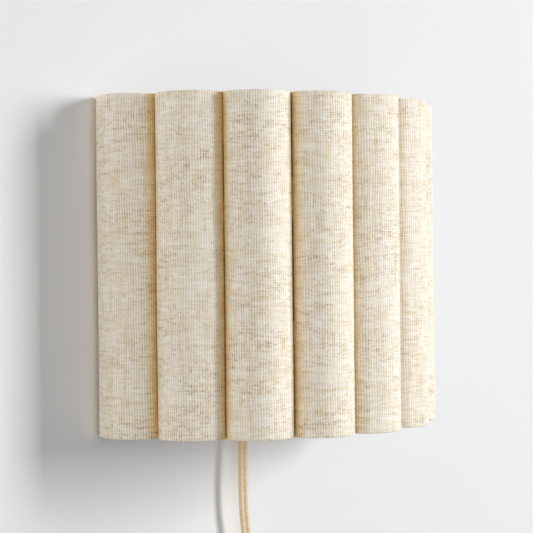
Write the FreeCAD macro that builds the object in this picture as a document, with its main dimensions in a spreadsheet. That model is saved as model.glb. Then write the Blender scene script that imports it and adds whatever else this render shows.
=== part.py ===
import FreeCAD, Part
import math
import os
import Sketcher
from types import SimpleNamespace

# Fabric shade wall light.
# A half drum of nine upright lobes, covered in linen, hangs on two hooks of a steel
# wall plate. A small canopy on the plate carries a bent arm, a lampholder and a globe
# bulb, and a flat textile cord runs down the wall from it to a switch, a coil and a plug.
#
# Millimetres. The wall is the plane Y = 0 and the light stands out towards -Y, with +Z up.
# The origin is midway between the two wall screws, on the back of the wall plate.

doc = FreeCAD.newDocument("FabricShadeWallLight")

# ---------------------------------------------------------------- driving sizes

SIZES = {
    # shade
    "shade_height": 240.0,          # top edge to bottom edge
    "lobe_count": 9,                # lobes in the half circle
    "lobe_circle_radius": 129.5,    # the lobes' centres lie on this circle
    "crease_rise": 9.5,             # how far a crease lies outside the line of two lobe centres
    "fabric_thickness": 0.7,
    "liner_thickness": 0.5,
    "hem_depth": 10.0,              # the edge turned in over the frame wire
    "wall_gap": 2.0,                # from the wall to the ends of the cloth
    "frame_wire": 3.2,              # diameter of all wires in the shade's frame
    "glue_gap": 0.1,                # between wires and cloth
    "hanging_bar_height": 60.0,     # bar that the hooks hold, above the origin
    # wall plate and hooks
    "plate_width": 110.0,
    "plate_top": 68.0,
    "plate_bottom": 88.0,
    "plate_thickness": 1.5,
    "wall_screw_spacing": 70.0,
    "wall_screw_hole": 4.6,
    "hook_spread": 84.0,            # centre to centre
    "hook_width": 12.0,
    "hook_strip": 2.0,
    "hook_lip": 5.0,                # lip above the centre of the bar
    "hook_foot": 14.0,
    "hook_gap": 0.35,               # round the hanging bar
    # canopy
    "canopy_width": 84.0,
    "canopy_height": 96.0,
    "canopy_top": 12.0,
    "canopy_depth": 22.0,
    "canopy_wall": 1.2,
    "canopy_corner": 10.0,
    "post_spread": 60.0,
    "post_diameter": 7.0,
    "cover_screw": 4.0,
    "cover_screw_head": 7.6,
    "cover_screw_head_height": 2.4,
    "cover_screw_length": 9.0,
    "thread_gap": 0.05,
    # arm
    "arm_drop": 56.0,               # arm's axis below the origin
    "arm_tube": 10.0,
    "arm_bore": 7.0,
    "arm_bend": 16.0,
    "arm_reach": 72.0,              # from the wall to the lampholder's axis
    "arm_tail": 7.0,                # threaded end inside the canopy
    "arm_collar": 18.0,
    "arm_collar_height": 3.0,
    "arm_nut_across": 14.0,
    "arm_nut_height": 3.0,
    # lampholder, small screw size
    "holder_base": -36.0,           # underside of its cap
    "holder_radius": 14.0,
    "holder_wall": 1.2,
    "holder_cap_height": 16.0,
    "holder_cap_shoulder": 9.6,     # its sides are straight above this
    "holder_cap_curve": 26.0,
    "holder_barrel_height": 38.0,
    "holder_ring_height": 6.0,
    "holder_ring_radius": 16.5,
    "core_gap": 0.3,
    "socket_radius": 7.25,          # inside of the threaded sleeve
    "sleeve_wall": 0.45,
    "socket_depth": 20.0,
    "contact_height": 1.2,
    # bulb
    "bulb_cap_radius": 6.95,
    "bulb_cap_length": 18.0,
    "bulb_cap_foot": 1.8,           # plain band below the rolled thread
    "bulb_cap_foot_radius": 5.5,
    "bulb_cap_floor": 2.7,          # below the cap's rim
    "bulb_threads": 5,
    "bulb_thread_pitch": 2.82,
    "bulb_thread_depth": 0.5,
    "bulb_globe_radius": 22.5,
    "bulb_globe_height": 33.0,      # globe's centre above the top of the screw cap
    "bulb_neck_angle": 50.0,        # where the neck leaves the globe, below level
    "bulb_seat": 2.2,               # glass inside the cap's rim
    "bulb_stem_flare": 4.2,
    "bulb_stem_radius": 1.7,
    "bulb_stem_height": 20.0,
    "bulb_glass": 0.8,
    "bulb_gap": 0.3,                # under the bulb's contact
    "filaments": 4,
    "filament_length": 26.0,
    "filament_circle": 5.0,
    "filament_radius": 0.9,
    # cord
    "cord_width": 7.4,
    "cord_thickness": 4.0,
    "cord_from_wall": 11.0,
    "cord_low_from_wall": 13.0,     # once it has left the shade
    "cord_sags_from": 130.0,        # below the origin
    "cord_sags_by": 172.0,
    "cord_settles_by": 198.0,
    "cord_sag_left": 0.6,           # still to go at the middle one of these
    "cord_grip": 0.1,               # how far every hole squeezes the cord
    "hole_gap": 0.15,               # round tubes and screws in sheet metal
    "gland_across": 14.0,
    "gland_flange": 5.0,
    "gland_relief": 16.0,
    "gland_nut_height": 3.0,
    "cord_tail_inside": 10.0,       # cord end above the canopy's floor
    "lead_diameter": 2.2,
    "lead_start": 7.0,              # straight part of a lead above the cord's end
    "lead_bend_low": 16.0,          # its bends below the terminal block
    "lead_bend_high": 9.0,
    "lead_over_block": 6.0,         # lamp lead above the terminal block
    "lead_crossing": 5.0,           # second lamp lead above the first
    "lead_apart": 1.4,              # half the space between the leads in the arm
    "lead_entry": 22.0,             # where they turn down, above the arm's axis
    "coil_radius": 52.0,            # outermost turn
    "coil_pitch": 5.2,              # from turn to turn
    "coil_layer": 9.2,              # from layer to layer
    "coil_turns": 6.0,              # half of them spiral in, half spiral out on top
    "tie_width": 10.0,
    "tie_thickness": 1.2,
    "tie_gap": 0.8,
    "coil_drop": 314.0,             # coil's centre below the origin
    # switch on the cord
    "switch_drop": 243.0,           # its middle below the origin
    "switch_length": 58.0,
    "switch_width": 25.0,
    "switch_depth": 18.0,
    "switch_wall": 1.8,
    "switch_corner": 6.0,
    "rocker_length": 18.0,
    "rocker_width": 11.0,
    "rocker_dish": 1.0,             # hollow in the middle, and the ends' rise
    "rocker_heel": 6.3,             # underside is thin beyond this
    "rocker_gap": 0.4,
    "rocker_tilt": 9.0,             # degrees each way from level
    "pivot_diameter": 3.0,
    "pivot_depth": 2.5,             # pivot behind the switch's front
    "lug_thickness": 2.4,
    "lug_height": 3.2,
    "switch_screw": 2.5,
    "switch_boss": 6.0,
    "switch_boss_inset": 4.2,       # its centre inside the switch's side
    "switch_screw_spacing": 44.0,
    # plug, two round pins
    "plug_width": 35.3,
    "plug_thickness": 13.7,
    "plug_body": 36.0,
    "plug_corner": 5.7,
    "plug_shoulder": 14.4,          # its sides are nearly straight below this
    "plug_shoulder_width": 32.8,
    "plug_shoulder_thickness": 13.2,
    "plug_top_width": 17.6,
    "plug_top_thickness": 11.0,
    "plug_top_corner": 4.6,
    "plug_relief": 14.0,
    "relief_foot_width": 14.8,
    "relief_foot_thickness": 9.6,
    "relief_foot_corner": 4.1,
    "relief_top_width": 11.2,
    "relief_top_thickness": 7.4,
    "relief_top_corner": 3.2,
    "plug_drop": 348.0,             # top of its body below the origin
    "pin_root": 8.0,
    "pin_spacing": 19.0,
    "pin_diameter": 4.0,
    "pin_neck_step": 0.3,
    "pin_neck": 0.3,
    "pin_length": 19.0,
    "pin_tip": 1.2,
    # terminal block
    "block_width": 20.0,
    "block_height": 14.0,
    "block_depth": 12.0,
    "block_side": 16.0,             # its centre beside the origin
    "block_drop": 19.0,
    "terminal_diameter": 5.0,
}


class Size:
    """A number that also knows the sheet expression it comes from."""

    def __init__(self, value, text):
        self.value = float(value)
        self.text = text

    def joined(self, sign, other, value):
        return Size(value, "(" + self.text + " " + sign + " " + size(other).text + ")")

    def __add__(self, other):
        return self.joined("+", other, self.value + size(other).value)

    def __sub__(self, other):
        return self.joined("-", other, self.value - size(other).value)

    def __mul__(self, other):
        return self.joined("*", other, self.value * size(other).value)

    def __truediv__(self, other):
        return self.joined("/", other, self.value / size(other).value)

    def __radd__(self, other):
        return size(other) + self

    def __rsub__(self, other):
        return size(other) - self

    def __rmul__(self, other):
        return size(other) * self

    def __rtruediv__(self, other):
        return size(other) / self

    def __neg__(self):
        return Size(-self.value, "(0 - " + self.text + ")")


def size(number):
    """Any plain number as a Size."""
    if isinstance(number, Size):
        return number
    if number < 0:
        return Size(number, "(0 - " + repr(-float(number)) + ")")
    return Size(number, repr(float(number)))


def root(square):
    return Size(math.sqrt(square.value), "sqrt(" + square.text + ")")


def sine(degrees):
    angle = size(degrees)
    return Size(math.sin(math.radians(angle.value)), "sin(" + angle.text + ")")


def cosine(degrees):
    angle = size(degrees)
    return Size(math.cos(math.radians(angle.value)), "cos(" + angle.text + ")")


sheet = doc.addObject("Spreadsheet::Sheet", "Sizes")
for row, (alias, number) in enumerate(SIZES.items(), start=1):
    sheet.set("A%d" % row, alias)
    sheet.set("B%d" % row, str(number))
    sheet.setAlias("B%d" % row, alias)
doc.recompute()
s = SimpleNamespace(**{alias: Size(number, "Sizes." + alias) for alias, number in SIZES.items()})

# ---------------------------------------------------------------- drawing helpers

PARTS = []


def bind(thing, name, value):
    """Sets a property of a feature from the sheet."""
    thing.setExpression(name, size(value).text)


def place(thing, x=0, y=0, z=0):
    """Puts a piece at a point that comes from the sheet."""
    thing.Placement = FreeCAD.Placement(
        FreeCAD.Vector(size(x).value, size(y).value, size(z).value), thing.Placement.Rotation)
    bind(thing, "Placement.Base.x", x)
    bind(thing, "Placement.Base.y", y)
    bind(thing, "Placement.Base.z", z)


def keep(thing, label):
    """Lists a finished piece under the name of its file."""
    thing.Label = label
    PARTS.append(thing)
    return thing


def new_body(label, x=0, y=0, z=0):
    body = doc.addObject("PartDesign::Body", "Body_" + label)
    place(body, x, y, z)
    return keep(body, label)


def origin_feature(body, role):
    return next(f for f in body.Origin.OriginFeatures if f.Role == role)


def new_sketch(body, plane, lift=0, turn=None):
    """Sketch on a plane of its own body, lifted along the plane's normal."""
    sketch = body.newObject("Sketcher::SketchObject", body.Name + "_outline")
    sketch.AttachmentSupport = [(origin_feature(body, plane + "_Plane"), "")]
    sketch.MapMode = "FlatFace"
    if turn is not None:
        sketch.AttachmentOffset = FreeCAD.Placement(
            FreeCAD.Vector(0, 0, 0), FreeCAD.Rotation(FreeCAD.Vector(0, 0, 1), size(turn).value))
        bind(sketch, "AttachmentOffset.Rotation.Angle", turn)
    bind(sketch, "AttachmentOffset.Base.z", lift)
    return sketch


def tie_point(sketch, edge, end, x, y):
    """Fixes one end of an edge, or a circle's centre, by two sizes from the sketch's origin."""
    for kind, value in (("DistanceX", size(x)), ("DistanceY", size(y))):
        number = sketch.addConstraint(
            Sketcher.Constraint(kind, -1, 1, edge, end, value.value))
        bind(sketch, "Constraints[%d]" % number, value)


def tie_radius(sketch, edge, radius):
    number = sketch.addConstraint(Sketcher.Constraint("Radius", edge, size(radius).value))
    bind(sketch, "Constraints[%d]" % number, radius)


def draw_circle(sketch, x, y, radius):
    centre = FreeCAD.Vector(size(x).value, size(y).value, 0)
    edge = sketch.addGeometry(
        Part.Circle(centre, FreeCAD.Vector(0, 0, 1), size(radius).value), False)
    tie_point(sketch, edge, 3, x, y)
    tie_radius(sketch, edge, radius)


def draw_path(sketch, corners, bends=None, closed=True):
    """Lines through the corners; bends gives, for an edge that is an arc, its radius.

    A positive radius turns left along the edge and a negative one turns right. Each arc
    is under a half circle.
    """
    bends = bends or {}
    count = len(corners)
    edges = count if closed else count - 1
    ends = []
    for i in range(edges):
        a = FreeCAD.Vector(size(corners[i][0]).value, size(corners[i][1]).value, 0)
        b_corner = corners[(i + 1) % count]
        b = FreeCAD.Vector(size(b_corner[0]).value, size(b_corner[1]).value, 0)
        if i not in bends:
            edge = sketch.addGeometry(Part.LineSegment(a, b), False)
            ends.append((edge, 1, 2))
            continue
        radius = size(bends[i])
        reach = abs(radius.value)
        half = (b - a).Length / 2
        side = 1 if radius.value > 0 else -1
        along = (b - a).normalize()
        left = FreeCAD.Vector(-along.y, along.x, 0)
        centre = (a + b) * 0.5 + left * (side * math.sqrt(max(reach ** 2 - half ** 2, 0)))
        first, last = (a, b) if side > 0 else (b, a)
        start = math.atan2(first.y - centre.y, first.x - centre.x)
        stop = math.atan2(last.y - centre.y, last.x - centre.x)
        circle = Part.Circle(centre, FreeCAD.Vector(0, 0, 1), reach)
        edge = sketch.addGeometry(Part.ArcOfCircle(circle, start, stop), False)
        ends.append((edge, 1, 2) if side > 0 else (edge, 2, 1))
    for i in range(edges):
        edge, begin, finish = ends[i]
        tie_point(sketch, edge, begin, *corners[i])
        if i + 1 < edges or closed:
            following = ends[(i + 1) % edges]
            sketch.addConstraint(
                Sketcher.Constraint("Coincident", edge, finish, following[0], following[1]))
        else:
            tie_point(sketch, edge, finish, *corners[i + 1])
        if i in bends:
            radius = bends[i]
            tie_radius(sketch, edge, radius if size(radius).value > 0 else -size(radius))


def draw_box(sketch, x0, y0, x1, y1, corner=None):
    """Rectangle, with round corners if a corner radius is given."""
    if corner is None:
        draw_path(sketch, [(x0, y0), (x1, y0), (x1, y1), (x0, y1)])
        return
    c = corner
    draw_path(sketch, [
        (x0 + c, y0), (x1 - c, y0), (x1, y0 + c), (x1, y1 - c),
        (x1 - c, y1), (x0 + c, y1), (x0, y1 - c), (x0, y0 + c),
    ], {1: c, 3: c, 5: c, 7: c})


def draw_slot(sketch, x, y, width, thickness):
    """A flat cord's section: straight sides and round ends, wide along X."""
    r = size(thickness) / 2
    h = size(width) / 2 - r
    corners = [
        (x - h, y - r), (x + h, y - r), (x + h + r, y), (x + h, y + r),
        (x - h, y + r), (x - h - r, y),
    ]
    draw_path(sketch, corners, {1: r, 2: r, 4: r, 5: r})


def pad(body, sketch, length, both=False, back=False):
    feature = body.newObject("PartDesign::Pad", body.Name + "_pad")
    feature.Profile = sketch
    bind(feature, "Length", length)
    feature.Midplane = both
    feature.Reversed = back
    doc.recompute()
    return feature


def pocket(body, sketch, length=None, both=False, back=False):
    before = body.Shape.Volume
    feature = body.newObject("PartDesign::Pocket", body.Name + "_pocket")
    feature.Profile = sketch
    if length is None:
        feature.Type = "ThroughAll"
    else:
        bind(feature, "Length", length)
    feature.Midplane = both
    feature.Reversed = back
    doc.recompute()
    if body.Shape.Volume >= before - 1e-6:
        raise RuntimeError(feature.Name + " cuts nothing")
    return feature


def turned(body, sketch):
    """Turns a sketch on the XZ plane a full circle about Z."""
    feature = body.newObject("PartDesign::Revolution", body.Name + "_turned")
    feature.Profile = sketch
    feature.ReferenceAxis = (sketch, ["V_Axis"])
    feature.Angle = 360.0
    doc.recompute()
    return feature


def repeat_round(body, features, angle, count):
    """Repeats features about Z."""
    feature = body.newObject("PartDesign::PolarPattern", body.Name + "_round")
    feature.Originals = features
    feature.Axis = (origin_feature(body, "Z_Axis"), [""])
    bind(feature, "Angle", angle)
    bind(feature, "Occurrences", count)
    body.Tip = feature
    doc.recompute()
    return feature


def piece_group(label, pieces):
    """Several identical solids in one node."""
    group = doc.addObject("Part::Compound", "Group_" + label)
    group.Links = pieces
    return keep(group, label)


# ---------------------------------------------------------------- shade: plan of the lobes

pitch = 180.0 / s.lobe_count
half_pitch = pitch / 2
first_turn = (1 - s.lobe_count) / 2 * pitch
half_chord = s.lobe_circle_radius * sine(half_pitch)
lobe_radius = root(half_chord * half_chord + s.crease_rise * s.crease_rise)
crease_radius = s.lobe_circle_radius * cosine(half_pitch) + s.crease_rise
wire_radius = s.frame_wire / 2
wire_inset = s.fabric_thickness + s.liner_thickness + s.glue_gap + wire_radius
hem_inset = wire_inset + wire_radius + s.glue_gap
wire_level = s.shade_height / 2 - s.fabric_thickness - s.glue_gap - wire_radius
upright_from_wall = s.wall_gap + s.fabric_thickness + wire_radius


def lobe_corner(side, inset, towards_lobe):
    """Point beside a crease, on the curve that runs at the inset inside the cloth."""
    crease_x = side * crease_radius * sine(half_pitch)
    crease_y = -crease_radius * cosine(half_pitch)
    if towards_lobe:
        share = inset / lobe_radius
        return (crease_x - crease_x * share,
                crease_y - (crease_y + s.lobe_circle_radius) * share)
    return (crease_x - side * inset * sine(half_pitch),
            crease_y + inset * cosine(half_pitch))


def draw_lobe_band(sketch, inner):
    """One lobe's section, from the outside of the cloth to an inset inside it."""
    outer = size(0)
    draw_path(sketch, [
        lobe_corner(-1, outer, False),
        lobe_corner(1, outer, False),
        lobe_corner(1, inner, False),
        lobe_corner(1, inner, True),
        lobe_corner(-1, inner, True),
        lobe_corner(-1, inner, False),
    ], {0: lobe_radius, 2: inner, 3: -(lobe_radius - inner), 4: inner})


def draw_lobe_layer(sketch, outer, inner):
    """One lobe's section between two insets inside the cloth."""
    draw_path(sketch, [
        lobe_corner(-1, outer, False),
        lobe_corner(-1, outer, True),
        lobe_corner(1, outer, True),
        lobe_corner(1, outer, False),
        lobe_corner(1, inner, False),
        lobe_corner(1, inner, True),
        lobe_corner(-1, inner, True),
        lobe_corner(-1, inner, False),
    ], {0: -outer, 1: lobe_radius - outer, 2: -outer,
        4: inner, 5: -(lobe_radius - inner), 6: inner})


def trim_at_wall(body, gap):
    """Cuts off whatever lies nearer to the wall than the gap."""
    reach = s.lobe_circle_radius + lobe_radius
    sketch = new_sketch(body, "XY")
    draw_box(sketch, -reach, -gap, reach, reach)
    pocket(body, sketch, s.shade_height * 2, both=True)


def make_shade_fabric():
    """Linen skin whose top and bottom edges turn in over the frame wires."""
    body = new_body("shade_fabric")
    lip = hem_inset + s.fabric_thickness
    folds = []
    for side in (1, -1):
        cap = new_sketch(body, "XY", side * s.shade_height / 2, first_turn)
        draw_lobe_band(cap, lip)
        folds.append(pad(body, cap, s.fabric_thickness, back=side > 0))
        edge = new_sketch(body, "XY", side * s.shade_height / 2, first_turn)
        draw_lobe_layer(edge, hem_inset, lip)
        folds.append(pad(body, edge, s.hem_depth, back=side > 0))
    repeat_round(body, folds, pitch * (s.lobe_count - 1), s.lobe_count)
    trim_at_wall(body, upright_from_wall + wire_radius + s.hook_gap)
    skin = new_sketch(body, "XY", -s.shade_height / 2, first_turn)
    draw_lobe_band(skin, s.fabric_thickness)
    cloth = pad(body, skin, s.shade_height)
    repeat_round(body, [cloth], pitch * (s.lobe_count - 1), s.lobe_count)
    trim_at_wall(body, s.wall_gap)


def make_shade_liner():
    """Stiff white sheet glued behind the linen."""
    body = new_body("shade_liner")
    sketch = new_sketch(body, "XY", s.fabric_thickness - s.shade_height / 2, first_turn)
    draw_lobe_layer(sketch, s.fabric_thickness, s.fabric_thickness + s.liner_thickness)
    sheet_pad = pad(body, sketch, s.shade_height - 2 * s.fabric_thickness)
    repeat_round(body, [sheet_pad], pitch * (s.lobe_count - 1), s.lobe_count)
    trim_at_wall(body, s.wall_gap)


# ---------------------------------------------------------------- shade: wire frame

end_lobe_turn = (s.lobe_count - 1) / 2 * pitch
end_lobe_x = s.lobe_circle_radius * sine(end_lobe_turn)
end_lobe_y = s.lobe_circle_radius * cosine(end_lobe_turn)
wire_curve = lobe_radius - wire_inset
upright_x = end_lobe_x + root(
    wire_curve * wire_curve - (end_lobe_y - upright_from_wall) * (end_lobe_y - upright_from_wall))


def coped(label, wire, others):
    """A wire whose ends are cut to fit the wires that it is welded to."""
    tools = doc.addObject("Part::Compound", "Against_" + label)
    tools.Links = others
    cut = doc.addObject("Part::Cut", "Coped_" + label)
    cut.Base = wire
    cut.Tool = tools
    return keep(cut, label)


def make_scalloped_wire(label, level):
    """Wire bent to the lobes, inside the turned-in hem."""
    body = new_body(label)
    route = new_sketch(body, "XY", level, first_turn)
    draw_path(route, [
        lobe_corner(-1, wire_inset, False),
        lobe_corner(-1, wire_inset, True),
        lobe_corner(1, wire_inset, True),
        lobe_corner(1, wire_inset, False),
    ], {0: -wire_inset, 1: lobe_radius - wire_inset, 2: -wire_inset}, closed=False)
    section = body.newObject("Sketcher::SketchObject", body.Name + "_section")
    section.AttachmentSupport = [(route, "Edge1")]
    section.MapMode = "NormalToEdge"
    draw_circle(section, 0, 0, wire_radius)
    doc.recompute()
    pipe = body.newObject("PartDesign::AdditivePipe", body.Name + "_pipe")
    pipe.Profile = section
    pipe.Spine = (route, ["Edge1", "Edge2", "Edge3"])
    doc.recompute()
    repeat_round(body, [pipe], pitch * (s.lobe_count - 1), s.lobe_count)
    trim_at_wall(body, upright_from_wall - wire_radius)
    return body


def straight_wire(name, length, x, y, z, along_x=False):
    """Plain round wire, upright or along X, starting at a point."""
    wire = doc.addObject("Part::Cylinder", "Wire_" + name)
    bind(wire, "Radius", wire_radius)
    bind(wire, "Height", length)
    if along_x:
        wire.Placement.Rotation = FreeCAD.Rotation(FreeCAD.Vector(0, 1, 0), 90)
    place(wire, x, y, z)
    return wire


def make_wire_frame():
    """Two scalloped wires, two uprights welded between them, and three bars at the back."""
    top = make_scalloped_wire("top_wire", wire_level)
    bottom = make_scalloped_wire("bottom_wire", -wire_level)
    uprights = []
    for name, side in (("left_upright", -1), ("right_upright", 1)):
        wire = straight_wire(
            name, 2 * wire_level, side * upright_x, -upright_from_wall, -wire_level)
        uprights.append(coped(name, wire, [top, bottom]))
    for name, level, rings in (
            ("top_back_bar", wire_level, [top]),
            ("hanging_bar", s.hanging_bar_height, []),
            ("bottom_back_bar", -wire_level, [bottom])):
        wire = straight_wire(
            name, 2 * upright_x, -upright_x, -upright_from_wall, level, along_x=True)
        coped(name, wire, uprights + rings)


# ---------------------------------------------------------------- wall plate and hooks

canopy_middle = s.canopy_top - s.canopy_height / 2
canopy_floor = s.canopy_top - s.canopy_height


def make_wall_plate():
    """Steel plate with two screw holes on its centre line, the origin between them."""
    body = new_body("wall_plate")
    sketch = new_sketch(body, "XZ")
    draw_box(sketch, -s.plate_width / 2, -s.plate_bottom, s.plate_width / 2, s.plate_top,
             s.canopy_corner)
    pad(body, sketch, s.plate_thickness)
    holes = new_sketch(body, "XZ")
    for side in (-1, 1):
        draw_circle(holes, 0, side * s.wall_screw_spacing / 2, s.wall_screw_hole / 2)
    pocket(body, holes, back=True)


def make_shade_hooks():
    """Two bent strips on the plate that hold the shade's hanging bar."""
    bar_front = upright_from_wall + wire_radius
    seat = s.hanging_bar_height - wire_radius - s.hook_gap
    lip_back = bar_front + s.hook_gap
    lip_front = lip_back + s.hook_strip
    plate_front = s.plate_thickness
    hooks = []
    for name, side in (("Left", -1), ("Right", 1)):
        body = doc.addObject("PartDesign::Body", name + "Hook")
        place(body, side * s.hook_spread / 2)
        sketch = new_sketch(body, "YZ")
        draw_path(sketch, [
            (-plate_front, seat),
            (-plate_front, seat - s.hook_foot),
            (-plate_front - s.hook_strip, seat - s.hook_foot),
            (-plate_front - s.hook_strip, seat - s.hook_strip),
            (-lip_front, seat - s.hook_strip),
            (-lip_front, s.hanging_bar_height + s.hook_lip),
            (-lip_back, s.hanging_bar_height + s.hook_lip),
            (-lip_back, seat),
        ])
        pad(body, sketch, s.hook_width, both=True)
        hooks.append(body)
    piece_group("shade_hooks", hooks)


# ---------------------------------------------------------------- canopy

def make_canopy():
    """Pressed steel cover, open at the back, over the terminals."""
    body = new_body("canopy_cover", 0, -s.plate_thickness, canopy_middle)
    w = s.canopy_width / 2
    h = s.canopy_height / 2
    depth = s.canopy_depth - s.plate_thickness
    outside = new_sketch(body, "XZ")
    draw_box(outside, -w, -h, w, h, s.canopy_corner)
    pad(body, outside, depth)
    t = s.canopy_wall
    inside = new_sketch(body, "XZ")
    draw_box(inside, t - w, t - h, w - t, h - t, s.canopy_corner - t)
    pocket(body, inside, depth - t, back=True)
    front = new_sketch(body, "XZ", depth)
    draw_circle(front, 0, -s.arm_drop - canopy_middle, s.arm_tube / 2 + s.hole_gap)
    for side in (-1, 1):
        draw_circle(front, side * s.post_spread / 2, 0, s.cover_screw / 2 + s.hole_gap)
    pocket(body, front, 2 * t)
    floor = new_sketch(body, "XY", -h)
    draw_circle(floor, 0, s.plate_thickness - s.cord_from_wall,
                s.gland_flange + s.hole_gap)
    pocket(body, floor, 2 * t, back=True)


def make_canopy_fixings():
    """Two posts on the plate and the two screws that hold the cover on them."""
    posts = []
    screws = []
    front = s.canopy_depth
    post_length = s.canopy_depth - s.canopy_wall - s.plate_thickness
    for name, side in (("Left", -1), ("Right", 1)):
        x = side * s.post_spread / 2
        post = doc.addObject("PartDesign::Body", name + "Post")
        place(post, x, -s.plate_thickness, canopy_middle)
        ring = new_sketch(post, "XZ")
        draw_circle(ring, 0, 0, s.post_diameter / 2)
        draw_circle(ring, 0, 0, s.cover_screw / 2 + s.thread_gap)
        pad(post, ring, post_length)
        posts.append(post)
        screw = doc.addObject("PartDesign::Body", name + "CoverScrew")
        place(screw, x, -front, canopy_middle)
        head = new_sketch(screw, "XZ")
        draw_circle(head, 0, 0, s.cover_screw_head / 2)
        pad(screw, head, s.cover_screw_head_height)
        shank = new_sketch(screw, "XZ")
        draw_circle(shank, 0, 0, s.cover_screw / 2)
        pad(screw, shank, s.cover_screw_length, back=True)
        slot = new_sketch(screw, "XZ", s.cover_screw_head_height)
        draw_box(slot, -s.cover_screw_head, -s.canopy_wall / 2,
                 s.cover_screw_head, s.canopy_wall / 2)
        pocket(screw, slot, s.cover_screw_head_height / 2)
        screws.append(screw)
    piece_group("canopy_posts", posts)
    piece_group("canopy_screws", screws)


def make_terminal_block():
    """Nylon block on the plate, with two brass barrels and their screws."""
    y = -s.plate_thickness
    z = -s.block_drop
    body = new_body("terminal_block", s.block_side, y, z)
    sketch = new_sketch(body, "XZ")
    draw_box(sketch, -s.block_width / 2, -s.block_height / 2,
             s.block_width / 2, s.block_height / 2)
    pad(body, sketch, s.block_depth)
    bores = new_sketch(body, "XY")
    for side in (-1, 1):
        draw_circle(bores, side * s.block_width / 4, -s.block_depth / 2,
                    s.terminal_diameter / 2 + s.thread_gap)
    pocket(body, bores, s.block_height * 2, both=True)
    access = new_sketch(body, "XZ", s.block_depth)
    for side in (-1, 1):
        draw_circle(access, side * s.block_width / 4, 0, s.terminal_diameter / 4 + s.thread_gap)
    pocket(body, access, s.block_depth / 2)
    barrels = []
    screws = []
    for name, side in (("Left", -1), ("Right", 1)):
        x = s.block_side + side * s.block_width / 4
        barrel = doc.addObject("PartDesign::Body", name + "Barrel")
        place(barrel, x, y - s.block_depth / 2, z)
        ring = new_sketch(barrel, "XY", -s.block_height / 2)
        draw_circle(ring, 0, 0, s.terminal_diameter / 2)
        draw_circle(ring, 0, 0, s.lead_diameter / 2 + s.thread_gap)
        pad(barrel, ring, s.block_height)
        barrels.append(barrel)
        screw = doc.addObject("PartDesign::Body", name + "TerminalScrew")
        place(screw, x, y - s.block_depth / 2 - s.terminal_diameter / 2, z)
        shank = new_sketch(screw, "XZ")
        draw_circle(shank, 0, 0, s.terminal_diameter / 4)
        pad(screw, shank, s.block_depth / 2 - s.terminal_diameter / 2)
        screws.append(screw)
    piece_group("terminal_barrels", barrels)
    piece_group("terminal_screws", screws)


def make_cord_gland():
    """Moulded bush in the canopy's floor, with a tapered relief below and a nut above."""
    y = -s.cord_from_wall
    body = new_body("cord_gland", 0, y, canopy_floor)
    flange = s.gland_flange
    half = s.gland_across / 2
    outline = new_sketch(body, "XZ")
    neck = s.cord_width / 2 + s.lead_diameter / 3
    draw_path(outline, [
        (0, -flange - s.gland_relief),
        (neck, -flange - s.gland_relief),
        (half, -flange),
        (half, 0),
        (flange, 0),
        (flange, s.canopy_wall + s.gland_nut_height + s.hole_gap),
        (0, s.canopy_wall + s.gland_nut_height + s.hole_gap),
    ])
    turned(body, outline)
    bore = new_sketch(body, "XY")
    draw_slot(bore, 0, 0, s.cord_width - 2 * s.cord_grip, s.cord_thickness - 2 * s.cord_grip)
    pocket(body, bore, s.canopy_height, both=True)
    nut = new_body("gland_nut", 0, y, canopy_floor + s.canopy_wall)
    ring = new_sketch(nut, "XY")
    draw_hexagon(ring, half)
    draw_circle(ring, 0, 0, flange + s.thread_gap)
    pad(nut, ring, s.gland_nut_height)


def draw_hexagon(sketch, half_across):
    """Hexagon about the sketch's origin, from half its width across flats."""
    corner = half_across / cosine(30)
    draw_path(sketch, [
        (corner * cosine(60 * i), corner * sine(60 * i)) for i in range(6)])


# ---------------------------------------------------------------- arm and lampholder

arm_end = s.holder_base + s.holder_cap_height / 2


def make_arm():
    """Tube from the canopy forwards and up, threaded at both ends, with collar and nut."""
    body = new_body("arm_tube", 0, 0, -s.arm_drop)
    route = new_sketch(body, "YZ")
    start = s.canopy_depth - s.arm_tail
    draw_path(route, [
        (-start, 0),
        (-(s.arm_reach - s.arm_bend), 0),
        (-s.arm_reach, s.arm_bend),
        (-s.arm_reach, arm_end + s.arm_drop),
    ], {1: -s.arm_bend}, closed=False)
    section = new_sketch(body, "XZ", start)
    draw_circle(section, 0, 0, s.arm_tube / 2)
    draw_circle(section, 0, 0, s.arm_bore / 2)
    doc.recompute()
    pipe = body.newObject("PartDesign::AdditivePipe", "Arm_pipe")
    pipe.Profile = section
    pipe.Spine = (route, ["Edge1", "Edge2", "Edge3"])
    doc.recompute()
    collar = new_body("arm_collar", 0, -s.canopy_depth, -s.arm_drop)
    ring = new_sketch(collar, "XZ")
    draw_circle(ring, 0, 0, s.arm_collar / 2)
    draw_circle(ring, 0, 0, s.arm_tube / 2 + s.thread_gap)
    pad(collar, ring, s.arm_collar_height)
    nut = new_body("arm_nut", 0, s.canopy_wall - s.canopy_depth, -s.arm_drop)
    hexagon = new_sketch(nut, "XZ")
    draw_hexagon(hexagon, s.arm_nut_across / 2)
    draw_circle(hexagon, 0, 0, s.arm_tube / 2 + s.thread_gap)
    pad(nut, hexagon, s.arm_nut_height, back=True)


barrel_base = s.holder_base + s.holder_cap_height
core_top = s.holder_barrel_height - s.holder_wall - s.core_gap
socket_floor = core_top - s.socket_depth


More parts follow.
